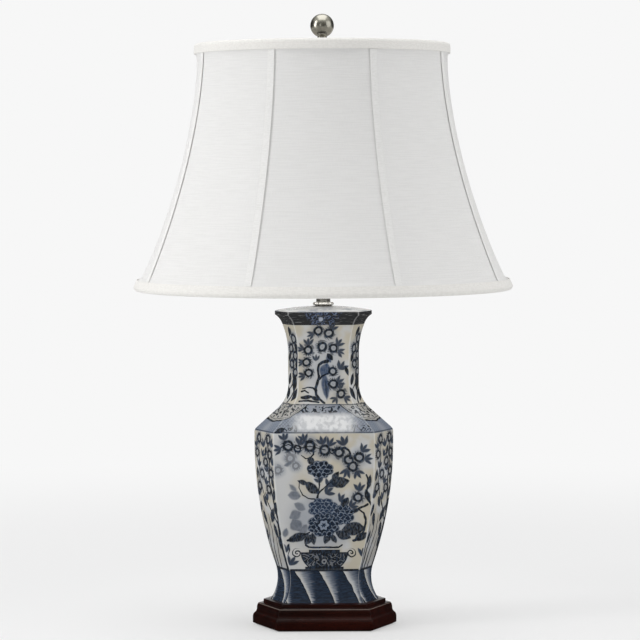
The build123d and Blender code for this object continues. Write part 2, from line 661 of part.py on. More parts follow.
def cloth_section(edge_radius, middle_radius, half_angle, thickness, z):
    """Curved strip of cloth in a level plane, thick inwards from its outer face."""
    arcs = []
    for inset in (0, thickness):
        arcs.append(
            ThreePointArc(
                polar(edge_radius - inset, -half_angle),
                polar(middle_radius - inset, 0),
                polar(edge_radius - inset, half_angle),
            )
        )
    ends = Line(arcs[0] @ 0, arcs[1] @ 0) + Line(arcs[0] @ 1, arcs[1] @ 1)
    return Pos(0, 0, z) * make_face(arcs[0] + arcs[1] + ends)


def shade_drops():
    """Levels of the shade's sections, closer together near the bindings."""
    free = 1 - 2 * TRIM_SHARE
    levels = [TRIM_SHARE + free * (1 - cos(pi * step / SHADE_STEPS)) / 2 for step in range(SHADE_STEPS + 1)]
    return [0, *levels, 1]


def panel():
    """One of the shade's cloth panels, stretched from ring to ring between two struts."""
    sections = []
    for drop in shade_drops():
        edge = strut_radius(drop)
        half_angle = PANEL_ANGLE / 2 - degrees(CLOTH_GAP / 2 / edge)
        sections.append(cloth_section(edge, panel_radius(drop), half_angle, PANEL_CLOTH, drop_z(drop)))
    return loft(sections, ruled=True)


def seam_tape():
    """Narrow tape over one seam, between the bindings."""
    lift = CLOTH_GAP + TAPE_CLOTH
    lean = radians(FLARE_LEAN)
    leg_top = TRIM_LEG * cos(lean) + (FOLD_RADIUS + TRIM_CLOTH) * sin(lean)
    first = TRIM_SHARE + CLOTH_GAP / RING_SPACING
    last = 1 - (leg_top + CLOTH_GAP) / RING_SPACING
    between = [drop for drop in shade_drops() if first < drop < last]
    sections = []
    for drop in [first, *between, last]:
        radius = strut_radius(drop) + lift
        half_angle = degrees(TAPE_WIDTH / 2 / radius)
        sections.append(cloth_section(radius, radius, half_angle, TAPE_CLOTH, drop_z(drop)))
    return loft(sections, ruled=True)


def strut():
    """Wire rib that the panels are sewn to, bent in arcs that run into each other."""
    end = (SHADE_WIRE / 2 + CLOTH_GAP) / RING_SPACING
    points = []
    for drop in (end, 0.12, 0.3, 0.52, 0.76, 1 - end):
        points.append((strut_radius(drop) - RING_INSET - CLOTH_GAP, drop_z(drop)))
    bend = TangentArc(points[0], points[1], tangent=(0, -1))
    path = bend
    for start, finish in zip(points[1:], points[2:]):
        bend = TangentArc(start, finish, tangent=bend % 1)
        path += bend
    return wire_along(Plane.XZ * Wire(path.edges()), SHADE_WIRE)


def lining():
    """Inner cloth from ring to ring, notched for the spider's arms."""
    outer = []
    inner = []
    for drop in shade_drops():
        radius = strut_radius(drop) - LINING_INSET - LINING_SAG * sin(pi * free_share(drop))
        outer.append((radius, drop_z(drop)))
        inner.append((radius - LINING_CLOTH, drop_z(drop)))
    cloth = turned(outer + inner[::-1])
    for arm in spider_arms(SPIDER_WIRE + 2 * CLOTH_GAP):
        cloth -= arm
    return cloth


def binding(ring_radius, ring_z, lean):
    """Folded binding round a ring. lean turns its legs from straight down to the shade's slope."""
    leg = Pos(0, -TRIM_LEG / 2) * Rectangle(2 * (FOLD_RADIUS + TRIM_CLOTH), TRIM_LEG)
    gap = Pos(0, -TRIM_LEG / 2) * Rectangle(2 * FOLD_RADIUS, TRIM_LEG)
    fold = (leg + Circle(FOLD_RADIUS + TRIM_CLOTH)) - gap - Circle(FOLD_RADIUS)
    return revolve(Plane.XZ * Pos(ring_radius, ring_z) * Rot(0, 0, lean) * fold, Axis.Z)


def top_trim():
    """Upper binding, with its legs down and notches for the spider's arms."""
    trim = binding(TOP_RING_RADIUS, TOP_RING_Z, 0)
    for arm in spider_arms(SPIDER_WIRE + 2 * CLOTH_GAP):
        trim -= arm
    return trim


def bottom_trim():
    """Lower binding, with its legs up along the shade's flare."""
    return binding(BOTTOM_RING_RADIUS, BOTTOM_RING_Z, 180 + FLARE_LEAN)


def spider_arms(diameter):
    """Wires from the hub out and up to the top ring."""
    hub_edge = SPIDER_HUB_DIAMETER / 2 - SPIDER_WIRE
    level_z = HUB_Z + SPIDER_HUB_THICKNESS / 2
    ring_edge = TOP_RING_RADIUS - SHADE_WIRE / 2 - CLOTH_GAP
    run = ring_edge - SPIDER_RISE_RUN
    bends = [
        (hub_edge, level_z),
        (run - SPIDER_RISE_RUN, level_z),
        (run, TOP_RING_Z),
        (ring_edge, TOP_RING_Z),
    ]
    path = Plane.XZ * FilletPolyline(*bends, radius=SPIDER_BEND)
    arm = wire_along(path, diameter)
    return [Rot(0, 0, 90 + 360 * turn / SPIDER_ARMS) * arm for turn in range(SPIDER_ARMS)]


def spider():
    """Hub washer with its welded arms, which hangs the shade on the harp."""
    hub = disc(SPIDER_HUB_DIAMETER, HUB_Z, SPIDER_HUB_THICKNESS)
    for arm in spider_arms(SPIDER_WIRE):
        hub += arm
    return hub - disc(STUD_DIAMETER + 2 * SLIDE_GAP, HUB_Z - SPIDER_WIRE, 2 * SPIDER_WIRE)


def shade_ring(radius, z):
    """Round wire ring of the shade's frame."""
    return Pos(0, 0, z) * Torus(radius, SHADE_WIRE / 2)


nodes = {
    "felt_pad": felt_pad(),
    "plinth": plinth(),
    "cord_bush": cord_bush(),
    "base_nut": hex_nut(NUT_ACROSS_FLATS, ROD_HOLE, BASE_NUT_Z, NUT_THICKNESS),
    "base_washer": ring(WASHER_DIAMETER, ROD_HOLE, BASE_NUT_Z + NUT_THICKNESS, WASHER_THICKNESS),
    "tie_rod": tie_rod(),
    "vase": vase(),
    "top_seal": ring(SEAL_DIAMETER, ROD_HOLE, SEAL_Z, SEAL_THICKNESS),
    "check_ring": check_ring(),
    "neck_nut": neck_nut(),
    "harp_saddle": harp_saddle(),
    "harp": harp(),
    "harp_stud": harp_stud(),
    "left_ferrule": ferrule(-1),
    "right_ferrule": ferrule(1),
    "holder_cap": holder_cap(),
    "holder_shell": holder_shell(),
    "holder_core": holder_core(),
    "holder_ring": holder_ring(),
    "screw_shell": screw_shell(),
    "centre_contact": centre_contact(),
    "terminal_screws": terminal_screws(),
    "switch_bar": switch_bar(),
    "switch_tips": switch_tips(),
    "bulb_contact": bulb_contact(),
    "bulb_insulator": bulb_insulator(),
    "bulb_cap": bulb_cap(),
    "bulb_glass": bulb_glass(),
    "finial_base": finial_base(),
    "finial_ball": finial_ball(),
    "top_ring": shade_ring(TOP_RING_RADIUS, TOP_RING_Z),
    "bottom_ring": shade_ring(BOTTOM_RING_RADIUS, BOTTOM_RING_Z),
    "spider": spider(),
    "lining": lining(),
    "top_trim": top_trim(),
    "bottom_trim": bottom_trim(),
}

first_strut = strut()
first_panel = panel()
first_tape = seam_tape()
tapes = []
for index in range(PANELS):
    strut_turn = Rot(0, 0, PANEL_ANGLE * (index + 0.5) - 90)
    nodes[f"strut_{index + 1}"] = strut_turn * first_strut
    nodes[f"panel_{index + 1}"] = Rot(0, 0, PANEL_ANGLE * index - 90) * first_panel
    tapes.append(strut_turn * first_tape)
nodes["seam_tapes"] = Compound(children=tapes)

os.makedirs("parts", exist_ok=True)
for name, shape in nodes.items():
    export_step(shape, f"parts/{name}.step")
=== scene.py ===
from functools import partialmethod, reduce
from math import acos, atan2, cos, pi, radians, sin, sqrt, tan
from operator import and_

import bmesh
import bpy
import numpy as np
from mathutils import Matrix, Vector


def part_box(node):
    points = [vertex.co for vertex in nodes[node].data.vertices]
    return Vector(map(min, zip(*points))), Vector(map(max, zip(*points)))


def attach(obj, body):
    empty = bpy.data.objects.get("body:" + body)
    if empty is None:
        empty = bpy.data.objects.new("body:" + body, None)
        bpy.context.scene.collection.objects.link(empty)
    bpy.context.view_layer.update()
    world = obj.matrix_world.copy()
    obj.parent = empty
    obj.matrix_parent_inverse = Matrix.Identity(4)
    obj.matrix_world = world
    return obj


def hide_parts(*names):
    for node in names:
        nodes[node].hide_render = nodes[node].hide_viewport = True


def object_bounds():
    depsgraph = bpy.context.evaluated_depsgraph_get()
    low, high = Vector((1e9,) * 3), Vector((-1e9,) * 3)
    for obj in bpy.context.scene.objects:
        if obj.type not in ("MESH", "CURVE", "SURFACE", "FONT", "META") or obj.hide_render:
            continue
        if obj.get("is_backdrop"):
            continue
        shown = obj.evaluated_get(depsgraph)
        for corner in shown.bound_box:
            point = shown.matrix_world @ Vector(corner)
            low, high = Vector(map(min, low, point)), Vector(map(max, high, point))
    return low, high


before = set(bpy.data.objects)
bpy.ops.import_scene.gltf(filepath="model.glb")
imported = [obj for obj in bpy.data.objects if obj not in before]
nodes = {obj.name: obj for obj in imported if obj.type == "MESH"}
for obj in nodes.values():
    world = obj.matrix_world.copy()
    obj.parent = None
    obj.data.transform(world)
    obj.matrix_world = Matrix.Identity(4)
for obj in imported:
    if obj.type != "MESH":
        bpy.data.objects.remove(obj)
cad_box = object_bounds()


# The pad is dark brown wool felt, cut from sheet a little smaller than the base and glued
# under it, so that the lamp doesn't scratch the table.
class Tone:
    """One socket of a material's nodes, so that its shader maths reads as plain expressions."""

    def __init__(self, tree, socket):
        self.tree = tree
        self.socket = socket

    def node(self, kind, settings=None, inputs=None, output=0):
        """Adds a node: its settings first, then the numbers, colours or links of its inputs."""
        made = self.tree.nodes.new(kind)
        for name, value in (settings or {}).items():
            setattr(made, name, value)
        for name, value in (inputs or {}).items():
            if isinstance(value, Tone):
                self.tree.links.new(value.socket, made.inputs[name])
            else:
                made.inputs[name].default_value = value
        return Tone(self.tree, made.outputs[output])

    def math(self, operation, *others):
        return self.node("ShaderNodeMath", {"operation": operation}, dict(enumerate((self, *others))))

    __add__ = __radd__ = partialmethod(math, "ADD")
    __mul__ = __rmul__ = partialmethod(math, "MULTIPLY")
    __sub__ = partialmethod(math, "SUBTRACT")
    __truediv__ = partialmethod(math, "DIVIDE")
    __abs__ = partialmethod(math, "ABSOLUTE")
    __or__ = partialmethod(math, "MAXIMUM")
    __and__ = partialmethod(math, "MINIMUM")

    def __rsub__(self, other):
        return self.node("ShaderNodeMath", {"operation": "SUBTRACT"}, {0: other, 1: self})

    def vector(self, operation, other=None, output=0):
        inputs = {0: self} if other is None else {0: self, 1: other}
        return self.node("ShaderNodeVectorMath", {"operation": operation}, inputs, output)

    def scaled(self, factor):
        return self.node("ShaderNodeVectorMath", {"operation": "SCALE"}, {0: self, "Scale": factor})

    def length(self):
        return self.vector("LENGTH", None, 1)

    def part(self, axis):
        return self.node("ShaderNodeSeparateXYZ", None, {0: self}, axis)

    def turn(self):
        """Angle of a place about the middle, seen from above."""
        return self.part(1).math("ARCTAN2", self.part(0))

    def beside(self, other):
        """A flat place with this value across and the other up."""
        return self.node("ShaderNodeCombineXYZ", None, {0: self, 1: other})

    def between(self, low, high):
        """1 below low, 0 above high, and a smooth step between them."""
        inputs = {0: self, 1: low, 2: high, 3: 1.0, 4: 0.0}
        return self.node("ShaderNodeMapRange", {"interpolation_type": "SMOOTHSTEP", "clamp": False}, inputs)

    def blend(self, first, second):
        """Colour that goes from the first to the second as this value goes from 0 to 1."""
        inputs = {0: self}
        for place, colour in ((6, first), (7, second)):
            inputs[place] = colour if isinstance(colour, Tone) else (*colour, 1)
        return self.node("ShaderNodeMix", {"data_type": "RGBA"}, inputs, 2)

    def noise(self, size, detail=2.0, rough=0.5, output=0):
        """Cloudy noise with patches of about this size."""
        inputs = {"Vector": self, "Scale": 1 / size, "Detail": detail, "Roughness": rough}
        return self.node("ShaderNodeTexNoise", None, inputs, output)

    def bump(self, distance):
        return self.node("ShaderNodeBump", None, {"Height": self, "Distance": distance})

    def dress(self, **inputs):
        """Feeds the sockets of the material's main shader with numbers or tones."""
        for name, value in inputs.items():
            socket = self.tree.nodes["Principled BSDF"].inputs[name.replace("_", " ")]
            if isinstance(value, Tone):
                self.tree.links.new(value.socket, socket)
            else:
                socket.default_value = value


def new_material(name):
    """A material, and the place on its surface to draw with."""
    material = bpy.data.materials.new(name)
    material.use_nodes = True
    tree = material.node_tree
    return material, Tone(tree, tree.nodes.new("ShaderNodeTexCoord").outputs["Object"])


def hexagon(z, half_width, half_front, half_depth, radius, bends=4, spans=6, swell=0):
    """Level outline with six rounded corners, in order from the right-hand corner, and swelling sides."""
    corners = [Vector((half_width, 0)), Vector((half_front, half_depth)), Vector((-half_front, half_depth))]
    corners += [-corner for corner in corners]
    arcs = []
    for index, corner in enumerate(corners):
        before = (corners[index - 1] - corner).normalized()
        after = (corners[(index + 1) % 6] - corner).normalized()
        half = acos(before.dot(after)) / 2
        centre = corner + (before + after).normalized() * (radius / sin(half))
        first = corner + before * (radius / tan(half)) - centre
        turn = (pi - 2 * half) / bends
        arc = []
        for step in range(bends + 1):
            c, s = cos(turn * step), sin(turn * step)
            arc.append(centre + Vector((first.x * c - first.y * s, first.x * s + first.y * c)))
        arcs.append(arc)
    outline = []
    for index, arc in enumerate(arcs):
        outline += arc
        following = arcs[(index + 1) % 6][0]
        outward = Vector((following.y - arc[-1].y, arc[-1].x - following.x)).normalized()
        for step in range(1, spans):
            share = step / spans
            outline.append(arc[-1].lerp(following, share) + outward * (4 * swell * share * (1 - share)))
    return [(point.x, point.y, z) for point in outline]


def skin(rings, joined=False):
    """Quads between closed rings of points. joined also joins the last ring to the first."""
    count = len(rings[0])
    faces = []
    for ring in range(len(rings) if joined else len(rings) - 1):
        low, high = ring * count, (ring + 1) % len(rings) * count
        for step in range(count):
            after = (step + 1) % count
            faces.append((low + step, low + after, high + after, high + step))
    return [point for ring in rings for point in ring], faces


def new_piece(name, points, faces, material, sharp=None):
    """A mesh object with its faces turned outwards, and edges sharp from an angle in degrees."""
    mesh = bpy.data.meshes.new(name)
    mesh.from_pydata([tuple(p) for p in points], [], faces)
    shape = bmesh.new()
    shape.from_mesh(mesh)
    bmesh.ops.recalc_face_normals(shape, faces=shape.faces)
    shape.to_mesh(mesh)
    shape.free()
    mesh.shade_smooth()
    if sharp is not None:
        mesh.set_sharp_from_angle(angle=radians(sharp))
    mesh.materials.append(material)
    piece = bpy.data.objects.new(name, mesh)
    bpy.context.scene.collection.objects.link(piece)
    return piece


def capped(rings):
    """A skin with flat ends on its first and last ring."""
    points, faces = skin(rings)
    count, total = len(rings[0]), len(points)
    return points, faces + [tuple(range(count)), tuple(range(total - count, total))]


felt_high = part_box("felt_pad")[1]
FELT_EDGE, FELT_CORNER = 0.0004, 0.002
BASE_HALF_WIDTH, BASE_HALF_FRONT, BASE_HALF_DEPTH = 0.0776, 0.0511, 0.053
lean = atan2(BASE_HALF_WIDTH - BASE_HALF_FRONT, BASE_HALF_DEPTH)
felt_half = felt_high.x, felt_high.x - felt_high.y * tan(lean), felt_high.y
felt_rings = []
for inset, z in ((FELT_EDGE, 0), (0, FELT_EDGE), (0, felt_high.z - FELT_EDGE), (FELT_EDGE, felt_high.z)):
    felt_rings.append(hexagon(z, *(half - inset for half in felt_half), FELT_CORNER))
felt, spot = new_material("brown_wool_felt")
fibre = spot.noise(0.0004, 4, 0.7)
fluff = spot.noise(0.006, 2)
tone = (fibre * 0.7 + fluff * 0.3).blend((0.012, 0.009, 0.007), (0.05, 0.038, 0.03))
spot.dress(Base_Color=tone, Roughness=0.95, Sheen_Weight=0.4, Normal=fibre.bump(0.0002))
pad = new_piece("felt_sole", *capped(felt_rings), felt)
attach(pad, "stand")
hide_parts("felt_pad")

# The base is turned and moulded hardwood in six mitred lengths: a flat fascia, an ogee, a
# rounded bead and a stepped top, stained dark mahogany under a polished lacquer.
BASE_MOULDING = [
    (0.0006, 0.0015), (0.0, 0.0021), (0.0, 0.0085), (0.00012, 0.0096), (0.0005, 0.0110),
    (0.0013, 0.0123), (0.0020, 0.0130), (0.0027, 0.0137), (0.0035, 0.0150), (0.0039, 0.0164),
    (0.0040, 0.0175), (0.00405, 0.0190), (0.0043, 0.0204), (0.0047, 0.0217), (0.0052, 0.0227),
    (0.0057, 0.0233), (0.0064, 0.0235), (0.0102, 0.0235), (0.0105, 0.0238), (0.0105, 0.0270),
    (0.0107, 0.0274), (0.0112, 0.0275),
]
BASE_LOW, BASE_TOP = BASE_MOULDING[0][1], BASE_MOULDING[-1][1]
BASE_CORNER, BEAD_EDGE, ROD_HOLE, RECESS_RADIUS, RECESS_TOP = 0.0007, 0.0228, 0.0055, 0.030, 0.0145
base_rings = []
for inset, z in BASE_MOULDING:
    half_width = BASE_HALF_WIDTH - inset / cos(lean)
    half_depth = BASE_HALF_DEPTH - inset
    base_rings.append(hexagon(z, half_width, half_width - half_depth * tan(lean), half_depth, BASE_CORNER))
angles = [atan2(y, x) for x, y, z in base_rings[0]]
base_hole = [(ROD_HOLE, BASE_TOP), (ROD_HOLE, RECESS_TOP)]
base_hole += [(RECESS_RADIUS, RECESS_TOP), (RECESS_RADIUS, BASE_LOW)]
for radius, z in base_hole:
    base_rings.append([(radius * cos(a), radius * sin(a), z) for a in angles])
mahogany, spot = new_material("dark_mahogany")
GRAIN_SCALE, PORE_SCALE = (7.0, 60.0, 60.0), (160.0, 1400.0, 1400.0)
grain_place = spot.node("ShaderNodeMapping", None, {"Vector": spot, "Scale": GRAIN_SCALE})
wander = grain_place.noise(3.0, 3, 0.6)
grain = grain_place.noise(1.0, 5, 0.65)
pores = spot.node("ShaderNodeMapping", None, {"Vector": spot, "Scale": PORE_SCALE}).noise(1.0, 2, 0.5)
figure = (grain * 0.75 + wander * 0.25).between(0.38, 0.66)
tone = figure.blend((0.024, 0.0036, 0.0019), (0.008, 0.0014, 0.0009))
tone = pores.between(0.30, 0.40).blend(tone, (0.003, 0.001, 0.0008))
wear = spot.noise(0.012, 3, 0.6)
# The thin pale line along the top edge of the bead, broken up by noise, is a painted highlight.
painted_bead_highlight = abs(spot.part(2) - BEAD_EDGE).between(0.0001, 0.0005) * (wear * 0.6 + 0.4)
tone = painted_bead_highlight.blend(tone, (0.22, 0.18, 0.155))
spot.dress(
    Base_Color=tone,
    Roughness=wear * 0.12 + 0.24,
    Specular_IOR_Level=0.05,
    Coat_Weight=wear * 0.3 + 0.12,
    Coat_Roughness=0.05,
    Normal=(figure * 0.3 + pores * 0.4).bump(0.00005),
)
base = new_piece("moulded_base", *skin(base_rings, joined=True), mahogany)
INLET_Z, BORE, FLANGE, INLET_STEPS = 0.0084, 0.00415, 0.0058, 48
INNER_Y, SEAT_Y, OUTER_Y = 0.02, 0.0495, 0.06
turns = [2 * pi * step / INLET_STEPS for step in range(INLET_STEPS)]
inlet_rings = []
for radius, y in ((BORE, INNER_Y), (BORE, SEAT_Y), (FLANGE, SEAT_Y), (FLANGE, OUTER_Y)):
    inlet_rings.append([(radius * cos(a), y, INLET_Z + radius * sin(a)) for a in turns])
drill = new_piece("inlet_drill", *capped(inlet_rings), mahogany)
hole = base.modifiers.new("inlet", "BOOLEAN")
hole.object = drill
bpy.context.view_layer.update()
drilled = bpy.data.meshes.new_from_object(base.evaluated_get(bpy.context.evaluated_depsgraph_get()))
base.modifiers.clear()
base.data = drilled
base.data.set_sharp_from_angle(angle=radians(35))
bpy.data.objects.remove(drill)
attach(base, "stand")
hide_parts("plinth")

# The inlet bush is a flanged tube of black nylon, pushed into the hole in the back of the base
# where the flex comes out.
def coat(material, *names):
    """Gives CAD nodes a finish."""
    for name in names:
        nodes[name].data.materials.clear()
        nodes[name].data.materials.append(material)


nylon, spot = new_material("black_nylon")
grit = spot.noise(0.0005, 3, 0.6)
spot.dress(
    Base_Color=spot.noise(0.004).blend((0.012, 0.012, 0.013), (0.022, 0.022, 0.023)),
    Roughness=grit * 0.2 + 0.4,
    Normal=grit.bump(0.00004),
)
coat(nylon, "cord_bush", "holder_ring", "switch_tips")

# A hollow steel rod, threaded all the way, ties base, vase and lampholder together. A nut and
# a wide washer hold it in the recess of the base. All are zinc plated.
zinc, spot = new_material("zinc_plated_steel")
ROD_PITCH = 0.001
cloud = spot.noise(0.003, 3, 0.6)
thread = (spot.part(2) * (2 * pi / ROD_PITCH)).math("SINE")
spot.dress(
    Base_Color=cloud.blend((0.42, 0.41, 0.38), (0.60, 0.59, 0.55)),
    Metallic=1.0,
    Roughness=cloud * 0.2 + 0.3,
    Normal=(thread * 0.5 + cloud * 0.3).bump(0.00012),
)
coat(zinc, "tie_rod", "base_nut", "base_washer")

# The vase is slip-cast porcelain with six slightly swelling sides, painted by hand in cobalt
# under a clear glaze. It stands on the base and is drilled top and bottom for the tie rod.
VASE_FRONT, VASE_DEPTH = 0.72, 0.56
VASE_ARCS = [
    (93.078, 52.0, 42.378, 215.32, 161.05),
    (-329.223, 197.0, 404.123, -18.95, 0),
    (68.9, 208.5, 6.0, 0, 48),
    (72.3, 259.264, 34.0, 228, 180),
    (123.3, 293.123, 85.0, 180, 157.399),
    (62.368, 318.487, 19.0, 157.399, 122),
]
FOOT_LINE, PANEL_LINE, SHOULDER_LINE, BAND_LINE = 62.4, 210.2, 240.2, 324.2
LIP_Z, RIM_Z, LIP_HALF, DOME = 334.6, 339.2, 52.3, 4.6
VASE_SEAT, VASE_HOLE, SEAT_Z = 11.6, 5.5, 343.2
EDGE_RADIUS, SWELL, RING_STEP, ARC_STEPS, BENDS, SPANS = 2.4, 0.6, 1.6, 24, 6, 10
profile = []
for x, z, radius, first, last in VASE_ARCS:
    for step in range(ARC_STEPS + 1):
        angle = radians(first + (last - first) * step / ARC_STEPS)
        profile.append((x + radius * cos(angle), z + radius * sin(angle)))
half_widths, heights = zip(*profile)
vase_rings, zone_of_ring, ring_half = [], [], []


def vase_ring(half, z, zone, radius=EDGE_RADIUS):
    """One level of the vase in millimetres, with the zone of painting above it."""
    vase_rings.append(hexagon(z, half, VASE_FRONT * half, VASE_DEPTH * half, radius, BENDS, SPANS, SWELL))
    zone_of_ring.append(zone)
    ring_half.append(half)


LINES = [heights[0], FOOT_LINE, PANEL_LINE, SHOULDER_LINE, BAND_LINE, LIP_Z]
for zone, low, high in zip(("foot", "panel", "shoulder", "neck", "lip"), LINES, LINES[1:]):
    steps = round((high - low) / RING_STEP)
    for step in range(steps):
        z = low + (high - low) * step / steps
        vase_ring(float(np.interp(z, heights, half_widths)), z, zone)
for inset, z in ((0, LIP_Z), (0, RIM_Z - 0.9), (0.25, RIM_Z - 0.35), (0.8, RIM_Z)):
    vase_ring(LIP_HALF - inset, z, "lip" if z < RIM_Z - 1 else "top")
for share in (0.95, 0.88, 0.78, 0.66, 0.54, 0.44):
    vase_ring(LIP_HALF * share, RIM_Z + DOME * (1 - share**2), "top", EDGE_RADIUS + 9 * (1 - share))
turns = [atan2(y, x) for x, y, z in vase_rings[-1]]
top_hole = [(15.0, 342.95), (11.9, 343.45), (VASE_SEAT, SEAT_Z), (VASE_HOLE, SEAT_Z), (VASE_HOLE, heights[0])]
for radius, z in top_hole:
    vase_rings.append([(radius * cos(a), radius * sin(a), z) for a in turns])
    zone_of_ring.append("top" if radius > VASE_SEAT else "bare")
    ring_half.append(radius)


def paper(name):
    """A glaze material, and the painter's place on a face: across it, up it, and in from its edge."""
    material, spot = new_material(name)
    brush = spot.node("ShaderNodeAttribute", {"attribute_name": "brush"}, None, 1)
    u, v, edge = (brush.part(axis) for axis in range(3))
    flat = u.beside(v)
    shake = flat.noise(7.0, 1.0, 0.5, 1).vector("SUBTRACT", (0.5, 0.5, 0.5)).scaled(2.2)
    place = flat.vector("ADD", shake).vector("MULTIPLY", (1, 1, 0))
    return material, place, u, v, edge


def filled(gap, soft=0.3):
    """Full inside an outline, with the soft edge of ink under glaze."""
    return gap.between(-soft, soft)


def spot_gap(place, u, v, radius):
    """How far outside a round spot a place lies."""
    return place.vector("DISTANCE", (u, v, 0), 1) - radius


def leaf_gap(place, u, v, length, width, lean):
    """How far outside a pointed leaf a place lies."""
    c, s = cos(radians(lean)), sin(radians(lean))
    local = place.vector("SUBTRACT", (u, v, 0))
    along = local.vector("DOT_PRODUCT", (2 * c / length, 2 * s / length, 0), 1)
    across = abs(local.vector("DOT_PRODUCT", (-2 * s / width, 2 * c / width, 0), 1))
    return (along * along + across - 1) * (width / 2)


def stroke_gaps(place, wide, tip, *stops):
    """How far outside each run of a brush stroke a place lies. The stroke thins from wide to tip."""
    thin = (tip - wide) / (len(stops) - 1) / 2
    for index, (first, last) in enumerate(zip(stops, stops[1:])):
        start = Vector((*first, 0))
        run = Vector((*last, 0)) - start
        local = place.vector("SUBTRACT", tuple(start))
        share = (local.vector("DOT_PRODUCT", tuple(run / run.length_squared), 1) | 0.0) & 1.0
        foot = share.node("ShaderNodeVectorMath", {"operation": "SCALE"}, {0: tuple(run), "Scale": share})
        yield local.vector("DISTANCE", foot, 1) - share.math("MULTIPLY_ADD", thin, wide / 2 + thin * index)


def strokes(place, *drawn):
    """Ink of several brush strokes, each given by its first and last width and its stops."""
    return filled(reduce(and_, (gap for stroke in drawn for gap in stroke_gaps(place, *stroke))))


def leaves(place, soft, *drawn):
    """Ink of several leaves, each given by its middle, length, width and lean."""
    return filled(reduce(and_, (leaf_gap(place, *leaf) for leaf in drawn)), soft)


def sprigs(*drawn):
    """Leaves of several sprigs, each three narrow leaves that fan out from a spot one way."""
    fan = []
    for u, v, lean, length in drawn:
        for spread in (-36, 0, 36):
            c, s = cos(radians(lean + spread)), sin(radians(lean + spread))
            fan.append((u + c * length / 2, v + s * length / 2, length, length * 0.34, lean + spread))
    return fan


def blossoms(place, *spots):
    """Ink and wash of plum blossoms, each a dark scalloped ring round a pale heart, with short sepals."""
    nearest, reach = None, None
    for u, v, radius in spots:
        local = place.vector("SUBTRACT", (u, v, 0)).scaled(1 / radius)
        far = local.length()
        if nearest is None:
            nearest, reach = local, far
        else:
            closer = far.math("LESS_THAN", reach)
            inputs = {0: closer, 4: nearest, 5: local}
            nearest = closer.node("ShaderNodeMix", {"data_type": "VECTOR"}, inputs, 1)
            reach = reach & far
    turn = nearest.turn() + place.noise(13.0, 0.0) * 6
    petal = (turn * 5).math("COSINE") * 0.06
    ring = (reach - petal).between(0.88, 1.10) * (1 - reach.between(0.38, 0.60))
    rays = (turn * 8).math("COSINE") * 0.3 + place.noise(4.0, 1.0) * 0.7 - 0.3
    sepals = (reach - rays).between(0.95, 1.2) * reach.between(1.2, 1.55) * (1 - reach.between(0.85, 0.95))
    heart = abs(reach - 0.16).between(0.03, 0.10) * 0.3
    return ring | sepals * 0.7 | heart, reach.between(0.9, 2.3)


def peony(place, u, v, half_wide, half_tall, scale):
    """Body and pale petal rims of a many-petalled flower, drawn as overlapping scales."""
    local = place.vector("SUBTRACT", (u, v, 0)).vector("MULTIPLY", (1 / half_wide, 1 / half_tall, 0))
    far = local.length()
    scallop = abs((local.turn() * 4).math("SINE"))
    inside = (far - scallop * 0.14).between(0.80, 0.96)
    curl = place.noise(4.0, 2.0, 0.5, 1).vector("SUBTRACT", (0.5, 0.5, 0.5)).scaled(6.0)
    petal = place.vector("ADD", curl)
    height = petal.part(1) / (scale * 0.72)
    row = height.math("FLOOR")
    across = (petal.part(0) / scale + row * 0.5).math("FRACT") - 0.5
    rim = abs(height - row - 0.85 + across * across * 2.6)
    return inside, inside * rim.between(0.04, 0.25) * (place.noise(4.0, 1.0) * 1.6)


def haze_round(place, u, v, half_wide, half_tall, low, high):
    """Thin wash that fades out round a spot."""
    around = place.vector("MULTIPLY", (1 / half_wide, 1 / half_tall, 0))
    return around.vector("DISTANCE", (u / half_wide, v / half_tall, 0), 1).between(low, high)


def feathered(place, foliage):
    """Leaves with the streaks of a half dry brush."""
    streak = place.vector("MULTIPLY", (1, 0.45, 0)).noise(1.7, 1, 0.5).between(0.42, 0.56)
    return foliage * (1 - streak * 0.14)


GLAZE = (0.50, 0.462, 0.378)
GLAZE_COOL = (0.53, 0.535, 0.535)
WASH = (0.20, 0.23, 0.285)
COBALT = (0.021, 0.036, 0.064)
INK = (0.004, 0.0053, 0.0075)
PETAL_EDGE = (0.22, 0.26, 0.325)
BODY_BLUE = (0.030, 0.056, 0.115)
PAINTED_REFLECTION_GLAZE = (0.72, 0.725, 0.73)
EDGE_GLAZE_AND_HIGHLIGHT = (0.66, 0.665, 0.66)


def fire(
    place, edge, ink, wash, body=None, cool_ground_and_reflection=None,
    spared_and_reflection=None, spared_and_reflection_tone=PETAL_EDGE, grain=None, corner_glaze_and_highlight=0.8,
):
    """Lays the painting on the glaze: pale wash, body blue, ink, pale lines and painted reflections, and
    corners of thin glaze and painted highlight, under a gloss.
    """
    mottle = place.noise(30.0, 3, 0.55)
    streak = place.vector("MULTIPLY", (1, 0.4, 0)).noise(1.8, 2, 0.6) if grain is None else grain
    colour = mottle.between(0.36, 0.54).blend(GLAZE, GLAZE_COOL)
    if cool_ground_and_reflection is not None:
        colour = cool_ground_and_reflection.blend(colour, GLAZE_COOL)
    colour = (wash * (0.55 + mottle * 0.6)).blend(colour, WASH)
    if body is not None:
        colour = (body * (0.66 + streak * 0.6)).blend(colour, BODY_BLUE)
    colour = (ink * 0.97).blend(colour, streak.between(0.42, 0.66).blend(COBALT, INK))
    if spared_and_reflection is not None:
        colour = spared_and_reflection.blend(colour, spared_and_reflection_tone)
    # Pale lines along the corners stand for thin glaze over the edge and for a painted highlight.
    thin = (edge + mottle * 1.4).between(0.9, 2.2) * (1 - place.noise(26.0, 1).between(0.40, 0.56) * 0.7)
    colour = (thin * corner_glaze_and_highlight).blend(colour, EDGE_GLAZE_AND_HIGHLIGHT)
    place.dress(
        Base_Color=colour,
        Roughness=mottle * 0.05 + 0.09,
        Specular_IOR_Level=0.36,
        Normal=(place.noise(24.0, 1) * 0.6 + place.noise(1.2, 2) * 0.012).bump(0.0004),
    )


